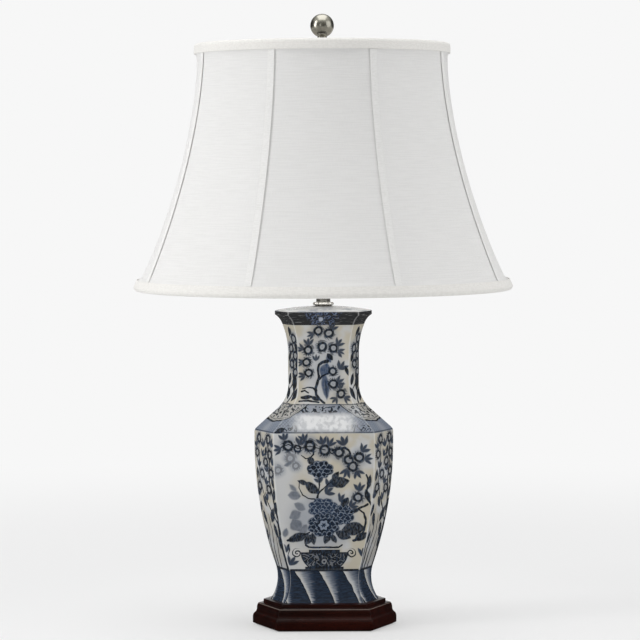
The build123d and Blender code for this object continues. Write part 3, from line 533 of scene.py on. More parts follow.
# On the two wide sides, a bowl of peonies stands under a bough of plum blossom, drawn in cobalt
# with a loaded brush, washed in paler blue and glazed. The marks are in millimetres on the face.
wide_glaze, place, u, v, edge = paper("glaze_with_peony_bowl")
ink, wash = blossoms(
    place,
    (-38.0, 197.2, 6.4), (-28.1, 193.9, 4.6), (-15.1, 196.9, 6.6), (0.8, 192.7, 6.4),
    (8.7, 191.4, 2.8), (16.1, 190.1, 6.0), (26.4, 181.9, 5.6), (37.3, 184.6, 5.8), (30.4, 175.1, 6.0),
    (36.1, 141.9, 5.4),
)
pale_ink, pale_wash = blossoms(place, (-35.8, 184.1, 5.2), (-29.9, 175.8, 4.2), (-49.0, 171.3, 4.8))
ink |= pale_ink * 0.5
ink |= strokes(
    place,
    (1.4, 1.0, (-46, 195), (-38, 199), (-28, 194), (-15, 197), (1, 193)),
    (2.4, 2.8, (9, 192), (16, 194), (22, 195), (26, 192.5), (28, 188), (28, 184)),
    (2.2, 1.0, (-11, 192), (-11, 188), (-14, 184.5), (-19, 183.5), (-24, 187)),
    (1.4, 2.2, (-4, 166), (-5, 153), (-7, 141)),
    (1.8, 1.0, (-6, 146), (1, 153), (10, 160)),
    (1.6, 0.9, (-10, 140), (-17, 141), (-23, 145), (-27, 152), (-26, 158)),
    (1.6, 3.0, (24, 125), (31, 126), (38, 130), (46, 134)),
    (2.0, 3.0, (38, 128), (42, 125), (44, 118), (43.5, 110), (41, 103), (37, 97), (31, 95)),
    (1.8, 3.2, (-16, 104), (-24, 100), (-33, 96.5), (-39, 95.5)),
    (2.0, 2.0, (-20, 89.8), (-17, 87.6), (15, 87.6), (18.5, 89.8)),
    (1.4, 0.8, (-38, 90), (-37, 84), (-39, 78)),
    (1.4, 0.8, (41, 86), (41, 79), (42, 71)),
    (1.8, 2.6, (45, 166), (47.5, 158), (45.5, 149), (47, 139), (52, 131)),
)
foliage = leaves(
    place,
    0.7,
    (-14, 181, 10, 8, 100), (-13, 152, 20, 10, 138), (-22, 158, 13, 5, 160), (17, 158, 21, 12, 8),
    (12, 164, 14, 7, 60), (31, 108, 25, 15, 5), (22, 136, 14, 8, 60), (31, 127, 15, 6, 15),
    (-28, 98.5, 25, 10, 16), (-17, 96, 14, 8, 60), (20, 101, 18, 10, 160), (39, 99, 16, 9, 30),
    (-12, 97, 14, 7, 100), (3, 98, 15, 8, 70), (10, 97, 12, 6, 120), (48, 158, 17, 5, 80),
    (46, 143, 15, 6, 105),
)
sprays = leaves(
    place,
    0.8,
    *sprigs(
        (-41.7, 203, 100, 9), (-26, 198, 75, 10), (-21, 202, 100, 9), (-1, 198, 105, 10),
        (5, 197, 60, 10), (22, 197, 110, 11), (40, 190, 55, 10), (43, 183, 0, 9), (34, 171, -60, 10),
        (25, 172, -115, 10), (-45, 194, 190, 9), (1, 146, 35, 11), (5, 152, 70, 11), (-3, 158, 120, 9),
        (37, 148, 85, 10), (17, 137, 60, 10), (27, 131, 40, 10), (-40, 82, 110, 10), (-37, 68, 60, 11),
        (41, 77, 80, 11),
    ),
)
ink |= feathered(place, foliage) | sprays * 0.68
wash |= foliage | sprays
petals, spared_and_reflection = peony(place, -3.5, 171.8, 13.5, 9.5, 5.6)
ink |= petals * 0.95 | filled(spot_gap(place, -14, 173, 4.0), 0.6)
PEONIES = [(0.8, 20.5, 123, 11.5, 11, 5.0), (0.6, -1, 130, 16, 11.5, 5.2), (0.9, -0.5, 112, 17, 13, 5.6)]
for depth, *flower in PEONIES:
    inside, rims = peony(place, *flower)
    petals |= inside
    ink |= inside * depth
    spared_and_reflection = spared_and_reflection * (1 - inside) | rims
daisy = place.vector("SUBTRACT", (-0.5, 111.7, 0))
daisy_turn = daisy.turn()
daisy = daisy.length() - (daisy_turn * 6).math("COSINE") * 0.8
spared_and_reflection = spared_and_reflection * (1 - filled(daisy - 7.2, 0.5)) | filled(abs(daisy - 3.6) - 1.5)
bowl = (abs(u) - 25.0 + ((80.5 - v) | 0.0).math("POWER", 2.0) * 0.036) | (v - 82.2) | (65.0 - v)
bowl = bowl & ((abs(u) - 16.5) | abs(v - 83.4) - 1.6) & ((abs(u) - 20.5) | abs(v - 64.9) - 1.3)
tracery = (place.noise(7.0, 1.0) * 34).math("SINE").between(-0.8, -0.3)
badge = spot_gap(place, -0.3, 72.0, 3.6)
marks = tracery * 0.45 * (1 - filled(badge)) * filled(bowl + 1.6) | filled(abs(badge + 1.5) - 0.8) * 0.7
ink |= filled(bowl) * (1 - marks)
wash |= filled(bowl, 1.0)
HANDLE_Z, COIL_PITCH = 81.4, 3.3
for middle, hand in ((-29.0, -1), (28.2, 1)):
    local = place.vector("SUBTRACT", (middle, HANDLE_Z, 0))
    far = local.length()
    turn = local.part(1).math("ARCTAN2", local.part(0) * hand)
    coil = (far / COIL_PITCH - turn / (2 * pi)).math("FRACT") - 0.5
    ink |= filled(abs(coil) * COIL_PITCH - 0.75) * far.between(5.0, 5.6)
ink |= filled(abs(v - FOOT_LINE - 0.6) - 0.7)
faded = leaves(
    place,
    1.6,
    (-31.4, 144, 14, 10, 175), (-26, 132, 13, 9, 150), (-30.6, 123, 14, 11, 30),
    (-30, 112, 16, 13, 120), (-22, 107, 14, 9, 60), (-38, 178, 10, 5, 30), (-33, 152, 11, 5, 130),
    (-41, 104, 10, 6, 80),
)
haze = haze_round(place, -2, 116, 40, 36, 0.55, 1.15)
# Up the left of the face the whiter ground is a painted reflection; round the bowl it follows the wash.
cool_ground_and_reflection = haze | (place.part(0) + place.noise(40.0, 1) * 60 - 30).between(-42, -8)
wash = wash * 0.8 | pale_wash * 0.6 | faded * 0.95 | haze * 0.6
ink |= faded * (place.noise(5.0, 2) * 0.6 + 0.1)
fire(place, edge, ink, wash, petals | sprays * 0.75, cool_ground_and_reflection, spared_and_reflection)

# Each of the four narrow sides carries one trunk of plum blossom over tall grass, painted under
# the glaze like the wide sides, and more loosely.
side_glaze, place, _, v, edge = paper("glaze_with_plum_branch")
ink, wash = blossoms(
    place,
    (12, 203, 6.2), (-10, 203, 5.6), (15, 187, 6.0), (5, 178, 5.6), (16, 167, 6.0), (-15, 187, 5.4),
    (-5, 165, 5.4), (-14, 151, 5.4), (8, 149, 5.6),
)
ink |= strokes(
    place,
    (5.0, 1.8, (14, 63), (15, 92), (19, 118), (16, 138), (11, 158), (14, 178), (10, 204)),
    (2.4, 1.0, (18, 112), (6, 128), (-6, 144), (-13, 160), (-9, 182), (-12, 202)),
    (2.8, 0.8, (-12, 62), (-13, 84), (-8, 106), (-12, 128)),
    (2.4, 0.7, (-7, 62), (-6, 82), (0, 104), (-2, 122)),
    (2.4, 0.7, (0, 62), (2, 78), (7, 98)),
    (2.2, 0.6, (-15, 64), (-18, 90), (-17, 112)),
)
foliage = leaves(
    place,
    0.7,
    (8, 121, 20, 9, 60), (18, 130, 15, 8, 65), (-12, 117, 16, 7, 110), (9, 104, 18, 7, 100),
    (-15, 98, 16, 5, 85), (18, 108, 16, 6, 95), (-5, 135, 14, 6, 120), (19, 145, 14, 6, 85),
    (-17, 165, 14, 6, 80), (18, 157, 13, 6, 100), (6, 190, 12, 6, 70), (-18, 128, 14, 6, 75),
    (12, 92, 16, 6, 80),
)
sprays = leaves(
    place,
    0.8,
    *sprigs(
        (2, 194, 110, 10), (18, 195, 70, 10), (-3, 184, 60, 9), (-17, 193, 100, 9), (19, 176, 60, 10),
        (9, 168, 120, 9), (-12, 172, 80, 9), (1, 154, 60, 10), (-18, 140, 100, 10), (3, 137, 120, 10),
    ),
)
ink |= feathered(place, foliage) | sprays * 0.68
wash = wash * 0.6 | foliage | sprays
ink |= filled(abs(v - FOOT_LINE - 0.6) - 0.7)
fire(place, edge, ink, wash | v.between(90, 150) * 0.5, sprays * 0.75)

# On the wide sides of the neck, a long-tailed bird sits among plum blossom over a rock, in ink
# and body blue on a ground left nearly white.
wide_neck_glaze, place, _, _, edge = paper("glaze_with_bird")
ink, wash = blossoms(
    place,
    (-5.6, 318.0, 5.2), (5.8, 315.4, 5.6), (-16.3, 297.3, 5.4), (-1.4, 301.0, 5.6), (10.6, 299.2, 5.4),
    (-17.9, 284.7, 5.0), (-15.9, 272.9, 4.8), (9.8, 274.5, 5.0), (10.2, 261.1, 5.4),
    (18.6, 250.9, 5.2),
)
ink |= strokes(
    place,
    (2.4, 3.0, (1, 241), (-4, 245), (-8, 250), (-8.5, 257), (-6, 264), (-5, 270)),
    (2.4, 3.4, (-5, 268), (-6, 276), (-5, 281), (-1.5, 284.5), (4, 285.5)),
    (2.4, 1.4, (-5, 266), (-1, 270), (6, 273)),
    (2.6, 1.2, (-8, 254), (-11, 257), (-17, 258), (-23, 256)),
    (1.8, 1.8, (-26, 242.5), (-16, 243.5), (-5, 242)),
    (2.0, 1.2, (-24, 247), (-16, 249), (-9, 246)),
    (2.0, 1.2, (-24, 253), (-20, 254.5), (-16, 252)),
)
foliage = leaves(
    place,
    0.6,
    (-18, 247, 14, 5, 10), (-9, 246, 12, 5, 160), (7, 290, 10, 6, 130), (25, 275, 11, 4, 110),
)
sprays = leaves(
    place,
    0.8,
    *sprigs(
        (17, 276, 60, 11), (-8, 286, 90, 7), (-16, 302, 90, 9), (-21, 298, 160, 8), (14, 302, 50, 9),
        (15, 296, -20, 8), (-22, 284, 180, 7), (-20, 271, 200, 8), (14, 262, 30, 9), (18, 256, 100, 8),
        (8, 319, 60, 9), (-10, 315, 200, 8), (22, 247, -30, 8), (14, 247, 230, 8),
    ),
)
ink |= foliage | sprays * 0.68
wash |= sprays
bird = leaf_gap(place, 1.4, 276, 17, 11, 70) & leaf_gap(place, 1.8, 260, 32, 8, 96)
bird &= leaf_gap(place, 5.6, 288, 9, 6, 120)
tail = leaf_gap(place, 2.6, 256, 22, 2.2, 96)
haze = haze_round(place, 2, 280, 22, 40, 0.5, 1.1)
bird = filled(bird, 1.2) * 0.92 | sprays * 0.75
fire(place, edge, ink | filled(tail) * 0.6, wash * 0.6 | haze * 0.3, bird, haze)

# The narrow sides of the neck have a hanging chain of blossom over dark leaves, in ink and a
# thin wash.
side_neck_glaze, place, _, _, edge = paper("glaze_with_blossom_chain")
ink, wash = blossoms(place, (6, 309, 5.6), (-2, 299, 5.8), (7, 291, 5.8), (-1, 282, 5.6), (7, 273, 5.2))
ink |= strokes(
    place,
    (1.6, 2.6, (4, 320), (2, 304), (4, 288), (2, 270), (5, 254), (-2, 241)),
    (2.0, 0.9, (3, 262), (-5, 256), (-9, 246)),
)
ink |= leaves(
    place,
    0.4,
    (5, 262, 19, 10, 80), (9, 250, 18, 9, 60), (-8, 251, 16, 8, 115), (-6, 266, 14, 7, 70),
    (9, 300, 12, 6, 100), (0, 317, 12, 6, 70), (-6, 290, 12, 6, 60), (10, 282, 12, 6, 85),
)
fire(place, edge, ink, wash * 0.75)

# The sloping shoulder has lappets at its corners on a blue-grey ground, scrolls under the neck and
# a pale patch on each wide side that is a painted reflection. A ruled line closes it above and below.
shoulder_glaze, place, u, v, edge = paper("glaze_with_lappets")
LAPPET_LOW, LAPPET_RISE, LAPPET_HALF, SIDE_LAPPET_LOW = 223.4, 16.8, 15.5, 221.4
SCROLL_Z, FLOURISH_Z, REFLECTION_PATCH_Z, MESH = 234.4, 215.4, 221.2, 3.6
UPPER_RULE, LOWER_RULE = 239.3, 211.2
flat_v = place.part(1)
spot = place.node("ShaderNodeTexCoord", None, None, "Object")
on_wide = abs(spot.part(0)).math("LESS_THAN", abs(spot.part(1)) * (VASE_FRONT / VASE_DEPTH))
point = ((flat_v - LAPPET_LOW) / LAPPET_RISE) | 0.0
wide_lappet = (edge - point.math("POWER", 0.62) * LAPPET_HALF) | (LAPPET_LOW - flat_v)
side_lappet = SIDE_LAPPET_LOW + abs(place.part(0)) * 0.12 - flat_v
lappet = side_lappet + on_wide * (wide_lappet - side_lappet)
within = filled(lappet)
ground = 1 - within
scroll = (place.noise(6.0, 1.0) * 26).math("SINE")
ink = filled(abs(lappet) - 0.8) | filled(abs(lappet + 2.4) - 0.4) * 0.7
ink |= filled(lappet + 3.4) * scroll.between(-0.5, 0.2) * 0.9
border = filled(abs(flat_v - SCROLL_Z) - 3.4, 0.8) * ground
ink |= scroll.between(-0.35, 0.15) * border * (1 - place.noise(11.0, 1.0).between(0.40, 0.46))
ink |= filled(abs(v - UPPER_RULE) - 0.5) * 0.7 | filled(abs(v - LOWER_RULE) - 0.55) * 0.75
lattice = abs(((u + v) / MESH).math("FRACT") - 0.5) & abs(((u - v) / MESH).math("FRACT") - 0.5)
ink |= lattice.between(0.05, 0.14) * ground * edge.between(10, 24) * 0.4
flourish = abs(u).between(50, 52) * (1 - abs(u + 4).between(22, 26))
flourish = flourish * filled(abs(flat_v - FLOURISH_Z) - 3.4, 0.8)
cirrus = (place.noise(8.0, 1.0) * 30).math("SINE").between(-0.75, -0.3)
ink |= cirrus * flourish | filled(leaf_gap(place, -47, 213.2, 13, 5, 20))
# The pale patch on each wide side, clouded with noise, is a painted reflection.
spared_and_reflection = on_wide * abs(place.part(0) - 1).between(20, 42) * filled(abs(flat_v - REFLECTION_PATCH_Z) - 8.4, 3.6)
cloud = place.noise(6.0, 2).between(0.38, 0.56) * 0.4
wash = ground * (0.95 + edge.between(6, 26) * 0.25) | within * 0.5
spared_and_reflection = spared_and_reflection * (0.95 - cloud)
fire(place, edge, ink, wash, spared_and_reflection=spared_and_reflection, spared_and_reflection_tone=PAINTED_REFLECTION_GLAZE, corner_glaze_and_highlight=0.25)

# The foot has a border of slanting petals, each hatched from a pale edge into dark blue, under a
# ruled line.
foot_glaze, place, _, v, edge = paper("glaze_with_petal_border")
PETAL_TOP, PETAL_PITCH, PETAL_LEAN = 62, 25.5, 0.62
rise = place.part(1) - PETAL_TOP
slant = place.part(0) / PETAL_PITCH + rise * (PETAL_LEAN / PETAL_PITCH) + rise * rise * 0.00012 + 0.24
share = slant.math("FRACT")
hatch = (place.part(0) * 0.12).beside(place.part(1) * 1.1).noise(1.0, 2)
pale_width = (rise + 34) * 0.0125 + 0.13
shaded = 1 - ((share + (hatch - 0.5) * 0.42) / pale_width).between(0.2, 1.5)
line = filled(abs(share - 0.97) * PETAL_PITCH - 0.6)
ink = line | shaded * (0.68 + place.noise(3.0, 2) * 0.3) | filled(abs(v - 61.8) - 0.8)
wash = 1 - (share / pale_width).between(0.05, 0.7)
fire(place, edge * 1.6 + 0.4, ink, wash, shaded * 0.9, hatch.between(0.3, 0.9), grain=hatch)

# A dark band rings the lip, thickly painted, with a small ornament in the middle of each wide side.
# Its pale streaks are part scratches and part painted highlight, and its corners are pale with thin
# glaze and a painted highlight.
lip_glaze, place, u, v, edge = paper("glaze_with_lip_band")
middle = 1 - (edge + place.noise(5.0, 1.0) * 8 - 4).between(17, 24)
swirl = (place.noise(5.0, 1.0) * 26).math("SINE")
# Pale streaks, part scratches and part painted highlight.
scratch_and_highlight = (u * 0.10).beside(v * 0.9).noise(1.0, 2).between(0.30, 0.42)
colour = (scratch_and_highlight * 0.7).blend((0.032, 0.033, 0.0345), (0.22, 0.22, 0.22))
colour = (middle * swirl.between(-0.3, 0.3) * 0.9).blend(colour, (0.035, 0.055, 0.115))
colour = (middle * swirl.between(-0.95, -0.7) * 0.7).blend(colour, (0.17, 0.20, 0.26))
colour = (middle * filled(spot_gap(place, -2.7, 330.6, 2.2), 0.7)).blend(colour, (0.36, 0.40, 0.48))
place.dress(
    # Pale corners: thin glaze and a painted highlight.
    Base_Color=((edge + 0.4).between(0.9, 1.8) * 0.5).blend(colour, (0.35, 0.35, 0.35)),
    Roughness=scratch_and_highlight * 0.1 + 0.12,
    Specular_IOR_Level=0.36,
    Normal=(place.noise(1.2, 2) * 0.02 + place.noise(24.0, 1) * 0.5).bump(0.0004),
)

# The domed top is plain white glaze, a little cloudy. The porcelain is bare on the seal's seat, in
# the hole for the rod and underneath.
top_glaze, spot = new_material("glaze_on_the_top")
cloud = spot.noise(0.012, 3, 0.6)
spot.dress(
    Base_Color=cloud.between(0.40, 0.56).blend((0.39, 0.39, 0.385), (0.25, 0.262, 0.283)),
    Roughness=cloud * 0.08 + 0.12,
    Normal=spot.noise(0.02, 1).bump(0.0004),
)
bisque, spot = new_material("bare_porcelain")
grit = spot.noise(0.0006, 3, 0.6)
spot.dress(
    Base_Color=spot.noise(0.01).blend((0.62, 0.59, 0.54), (0.70, 0.68, 0.63)),
    Roughness=grit * 0.2 + 0.7,
    Normal=grit.bump(0.00006),
)
points, faces = skin(vase_rings, joined=True)
vase = new_piece("porcelain_vase", [Vector(p) / 1000 for p in points], faces, wide_glaze, 40)
all_round = {"shoulder": shoulder_glaze, "foot": foot_glaze, "lip": lip_glaze, "top": top_glaze}
all_round["bare"] = bisque
on_wide_sides = {"panel": wide_glaze, "neck": wide_neck_glaze, **all_round}
on_narrow_sides = {"panel": side_glaze, "neck": side_neck_glaze, **all_round}
glazes = [wide_glaze, side_glaze, wide_neck_glaze, side_neck_glaze, *all_round.values()]
for glaze in glazes[1:]:
    vase.data.materials.append(glaze)
SIDE_CORNERS = [(1, 0), (VASE_FRONT, VASE_DEPTH), (-VASE_FRONT, VASE_DEPTH)]
SIDE_CORNERS += [(-x, -y) for x, y in SIDE_CORNERS]
per_ring, per_side = len(vase_rings[0]), BENDS + SPANS
brush = vase.data.attributes.new("brush", "FLOAT_VECTOR", "CORNER")
for number, face in enumerate(vase.data.polygons):
    ring, step = divmod(number, per_ring)
    side = step // per_side
    if step % per_side < BENDS / 2:
        side = (side - 1) % 6
    glaze_of_zone = on_wide_sides if side in (1, 4) else on_narrow_sides
    face.material_index = glazes.index(glaze_of_zone[zone_of_ring[ring]])
    start, end = Vector(SIDE_CORNERS[side]), Vector(SIDE_CORNERS[(side + 1) % 6])
    along = (end - start).normalized()
    for loop in face.loop_indices:
        vertex = vase.data.loops[loop].vertex_index
        half = ring_half[vertex // per_ring]
        x, y, z = points[vertex]
        across = along.dot(Vector((x, y)) - (start + end) * (half / 2))
        reach = (end - start).length * half / 2
        brush.data[loop].vector = (across, z, max(reach - abs(across), 0))
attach(vase, "stand")
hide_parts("vase")

# A rubber seal, a lobed ring and a hexagon nut close the vase's top on the rod. Ring and nut are
# turned brass, nickel plated and polished.
rubber, spot = new_material("black_rubber")
grit = spot.noise(0.0008, 3, 0.6)
tone = grit.blend((0.012, 0.012, 0.012), (0.028, 0.027, 0.026))
spot.dress(Base_Color=tone, Roughness=0.8, Normal=grit.bump(0.00005))
coat(rubber, "top_seal")
polished, spot = new_material("polished_nickel")
smear = spot.noise(0.004, 3, 0.6)
turning = spot.vector("MULTIPLY", (1, 1, 8)).noise(0.0012, 2, 0.5)
spot.dress(
    Base_Color=smear.blend((0.80, 0.78, 0.74), (0.88, 0.865, 0.83)),
    Metallic=1.0,
    Roughness=smear * 0.10 + 0.20,
    Normal=turning.bump(0.00001),
)
coat(polished, "neck_nut")
ring_low, ring_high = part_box("check_ring")
LOBES, LOBE_DEPTH, LOBE_STEPS, RIM_STEPS = 10, 0.0014, 12, 12
ring_rim = (ring_high.z - ring_low.z) / 2
lobed_rings = []
for step in range(LOBES * LOBE_STEPS):
    turn = 2 * pi * step / (LOBES * LOBE_STEPS)
    reach = ring_high.x - LOBE_DEPTH * (1 - abs(cos(LOBES * turn / 2))) - ring_rim
    section = [(ROD_HOLE, ring_low.z)]
    for bend in range(RIM_STEPS + 1):
        angle = pi * (bend / RIM_STEPS - 0.5)
        section.append((reach + ring_rim * cos(angle), ring_low.z + ring_rim * (1 + sin(angle))))
    section.append((ROD_HOLE, ring_high.z))
    lobed_rings.append([(r * cos(turn), r * sin(turn), z) for r, z in section])
lobed_ring = new_piece("lobed_check_ring", *skin(lobed_rings, joined=True), polished, 40)
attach(lobed_ring, "stand")
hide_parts("check_ring")

# The harp is a bow of nickel-plated wire in a pressed saddle, held by two sliding ferrules, with
# a screw stud at its crown for the shade.
satin, spot = new_material("satin_nickel")
smear = spot.noise(0.006, 3, 0.6)
brushed = spot.vector("MULTIPLY", (1, 1, 12)).noise(0.002, 3, 0.6)
spot.dress(
    Base_Color=smear.blend((0.50, 0.485, 0.46), (0.60, 0.59, 0.57)),
    Metallic=1.0,
    Roughness=brushed * 0.12 + smear * 0.06 + 0.16,
    Normal=brushed.bump(0.00002),
)
coat(satin, "harp_saddle", "harp", "harp_stud", "left_ferrule", "right_ferrule")

# The lampholder is a spun metal cap and shell round a porcelain core, with brass contacts, and
# a push-through switch bar tipped in black.
coat(satin, "holder_cap", "holder_shell")
coat(bisque, "holder_core")
brass, spot = new_material("plain_brass")
tarnish = spot.noise(0.003, 3, 0.6)
spot.dress(
    Base_Color=tarnish.between(0.35, 0.65).blend((0.56, 0.38, 0.13), (0.42, 0.27, 0.09)),
    Metallic=1.0,
    Roughness=tarnish * 0.25 + 0.2,
    Normal=spot.noise(0.0006, 2).bump(0.00002),
)
coat(brass, "screw_shell", "centre_contact", "terminal_screws", "switch_bar", "bulb_contact")

# The bulb is an acid-frosted glass envelope cemented in a threaded aluminium cap, with a black
# glass bead round its end contact.
frosted, spot = new_material("frosted_glass")
frost = spot.noise(0.0006, 3, 0.6)
cloud = spot.noise(0.02, 2)
spot.dress(
    Base_Color=cloud.blend((0.80, 0.80, 0.79), (0.88, 0.88, 0.87)),
    Roughness=frost * 0.2 + 0.3,
    Transmission_Weight=0.25,
    Normal=frost.bump(0.00003),
)
coat(frosted, "bulb_glass")
aluminium, spot = new_material("threaded_aluminium")
CAP_PITCH = 0.0036
scuff = spot.noise(0.002, 3, 0.6)
ridge = (spot.part(2) * (2 * pi / CAP_PITCH)).math("SINE")
spot.dress(
    Base_Color=scuff.blend((0.58, 0.58, 0.57), (0.70, 0.70, 0.69)),
    Metallic=1.0,
    Roughness=scuff * 0.2 + 0.25,
    Normal=(ridge + scuff * 0.05).bump(0.0008),
)
coat(aluminium, "bulb_cap")
bead, spot = new_material("black_glass_bead")
swirl = spot.noise(0.002, 2)
tone = swirl.blend((0.008, 0.008, 0.010), (0.02, 0.02, 0.024))
spot.dress(Base_Color=tone, Roughness=swirl * 0.1 + 0.08)
coat(bead, "bulb_insulator")

# The shade's frame is steel wire, bent, spot welded and dipped in white enamel: two rings, eight
# ribs and a three-armed spider that hangs on the harp's stud.
PANELS = 8
enamel, spot = new_material("white_enamel")
run = spot.noise(0.008, 3, 0.6)
spot.dress(
    Base_Color=run.blend((0.66, 0.65, 0.62), (0.76, 0.755, 0.735)),
    Roughness=run * 0.2 + 0.25,
    Normal=run.bump(0.00008),
)
coat(enamel, "top_ring", "bottom_ring", "spider", *(f"strut_{index + 1}" for index in range(PANELS)))

# The lining is thin white cotton, sewn to shape and stretched smooth from ring to ring inside the
# frame, clear of the ribs.
SHADE_TOP_RADIUS, SHADE_FLARE, BELL_POWER = 135.4, 66.1, 1.7
TOP_RING_Z, RING_SPACING, TRIM_LEG = 619.8, 255.1, 7.2
LINING_INSET, LINING_SAG, LINING_CLOTH, LINING_LEVELS, LINING_STEPS = 4.5, 3.0, 0.5, 40, 192
MEAN_RADIUS = 0.16


def strut_radius(drop):
    """Radius in millimetres of the cloth over a rib, drop being 0 at the top ring and 1 at the bottom."""
    return SHADE_TOP_RADIUS + SHADE_FLARE * drop**BELL_POWER


def tautness(drop):
    """0 at the bindings and 1 half-way between them."""
    share = (drop - TRIM_LEG / RING_SPACING) / (1 - 2 * TRIM_LEG / RING_SPACING)
    return sin(pi * min(max(share, 0), 1))


def levels(first, last, count):
    """Drops from first to last, closer together at both ends."""
    return [first + (last - first) * (1 - cos(pi * step / count)) / 2 for step in range(count + 1)]


def round_skin(outline, count):
    """Turns a closed outline of (radius, height) in millimetres about the lamp's axis."""
    rings = []
    for step in range(count):
        c, s = cos(2 * pi * step / count), sin(2 * pi * step / count)
        rings.append([(r * c / 1000, r * s / 1000, z / 1000) for r, z in outline])
    return skin(rings, joined=True)


def weave(name, tint, shadow, thread, slub_length):
    """Plain woven cloth: two threads crossing, slubs along the weft and a soft sheen."""
    material, spot = new_material(name)
    round_trip = spot.turn() * MEAN_RADIUS
    drop = spot.part(2)
    warp = (round_trip * (2 * pi / thread)).math("SINE")
    weft = (drop * (2 * pi / thread)).math("SINE")
    slub = (round_trip * (1 / slub_length)).beside(drop * (1 / (thread * 1.6))).noise(1.0, 2, 0.5)
    fleck = (round_trip * (1 / thread)).beside(drop * (0.1 / thread)).noise(1.0, 1)
    tone = (slub * 0.7 + fleck * 0.3).between(0.36, 0.62).blend(tint, shadow)
    spot.dress(
        Base_Color=tone,
        Roughness=slub * 0.15 + 0.72,
        Sheen_Weight=0.25,
        Normal=(slub * 0.9 + fleck * 0.3 + warp * weft * 0.25).bump(0.00012),
    )
    return material


lining_cloth = weave("lining_cloth", (0.80, 0.79, 0.76), (0.74, 0.73, 0.70), 0.0006, 0.02)
outer, inner = [], []
for drop in levels(0, 1, LINING_LEVELS):
    radius = strut_radius(drop) - LINING_INSET - LINING_SAG * tautness(drop)
    outer.append((radius, TOP_RING_Z - RING_SPACING * drop))
    inner.append((radius - LINING_CLOTH, TOP_RING_Z - RING_SPACING * drop))


def turned_area(line):
    """Area in square metres of a line of (radius, height) turned about the axis."""
    area = 0
    for (r0, z0), (r1, z1) in zip(line, line[1:]):
        area += pi * (r0 + r1) * sqrt((r1 - r0) ** 2 + (z1 - z0) ** 2) / 1e6
    return area


def line_length(line):
    """Length of a line of points, in their own unit."""
    return sum((Vector(b) - Vector(a)).length for a, b in zip(line, line[1:]))


lining = new_piece("shade_lining", *round_skin(outer + inner[::-1], LINING_STEPS), lining_cloth, 60)
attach(lining, "shade")
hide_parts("lining")
2 * pi * outer[-1][0] / 1000
line_length(outer) / 1000
turned_area(outer)

# Eight panels of slubbed white silk are cut to the bell's shape, sewn together over the ribs and
# stretched from ring to ring, so that each is drawn a little flat between its seams.
PANEL_DIP, PANEL_DIP_POWER, PANEL_CLOTH, SEAM_GAP = 0.027, 0.2, 0.6, 0.3
CLOTH_LEVELS, PANEL_SPANS, PANEL_FULLNESS = 56, 20, 1.03
silk = weave("slubbed_silk", (0.815, 0.81, 0.797), (0.775, 0.77, 0.757), 0.0007, 0.03)


def cloth(outer, inner):
    """Closed thin mesh between two grids of points."""
    points, faces = skin([row + back[::-1] for row, back in zip(outer, inner)])
    wide = len(outer[0])
    for start in (0, len(points) - 2 * wide):
        for step in range(wide - 1):
            far = start + 2 * wide - 1 - step
            faces.append((start + step, start + step + 1, far - 1, far))
    return points, faces


def grid_area(grid):
    """Area in square metres of a grid of points in metres."""
    area = 0
    for row, below in zip(grid, grid[1:]):
        for a, b, c, d in zip(row, row[1:], below[1:], below):
            area += ((c - a).cross(d - b)).length / 2
    return area


def cloth_row(edge_radius, middle_radius, half_angle, drop, turn, count):
    """Points across a strip of cloth at one level, on the arc through its edges and its middle."""
    c, s = cos(half_angle), sin(half_angle)
    centre = (edge_radius**2 - middle_radius**2) / 2 / (edge_radius * c - middle_radius)
    reach = atan2(edge_radius * s, edge_radius * c - centre)
    row = []
    for step in range(count + 1):
        angle = reach * (2 * step / count - 1)
        x = centre + (middle_radius - centre) * cos(angle)
        y = (middle_radius - centre) * sin(angle)
        x, y = x * cos(turn) - y * sin(turn), x * sin(turn) + y * cos(turn)
        row.append(Vector((x, y, TOP_RING_Z - RING_SPACING * drop)) / 1000)
    return row


for index in range(PANELS):
    turn = radians(360 / PANELS * index - 90)
    outer, inner = [], []
    for drop in levels(0, 1, CLOTH_LEVELS):
        edge_radius = strut_radius(drop)
        middle = edge_radius * (1 - PANEL_DIP * tautness(drop) ** PANEL_DIP_POWER)
        half_angle = pi / PANELS - SEAM_GAP / 2 / edge_radius
        strip = half_angle, drop, turn, PANEL_SPANS
        outer.append(cloth_row(edge_radius, middle, *strip))
        inner.append(cloth_row(edge_radius - PANEL_CLOTH, middle - PANEL_CLOTH, *strip))
    panel = new_piece(f"silk_panel_{index + 1}", *cloth(outer, inner), silk, 60)
    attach(panel, "shade")
    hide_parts(f"panel_{index + 1}")
    length = line_length([row[PANEL_SPANS // 2] for row in outer])
    (outer[-1][-1] - outer[-1][0]).length * PANEL_FULLNESS
    grid_area(outer)

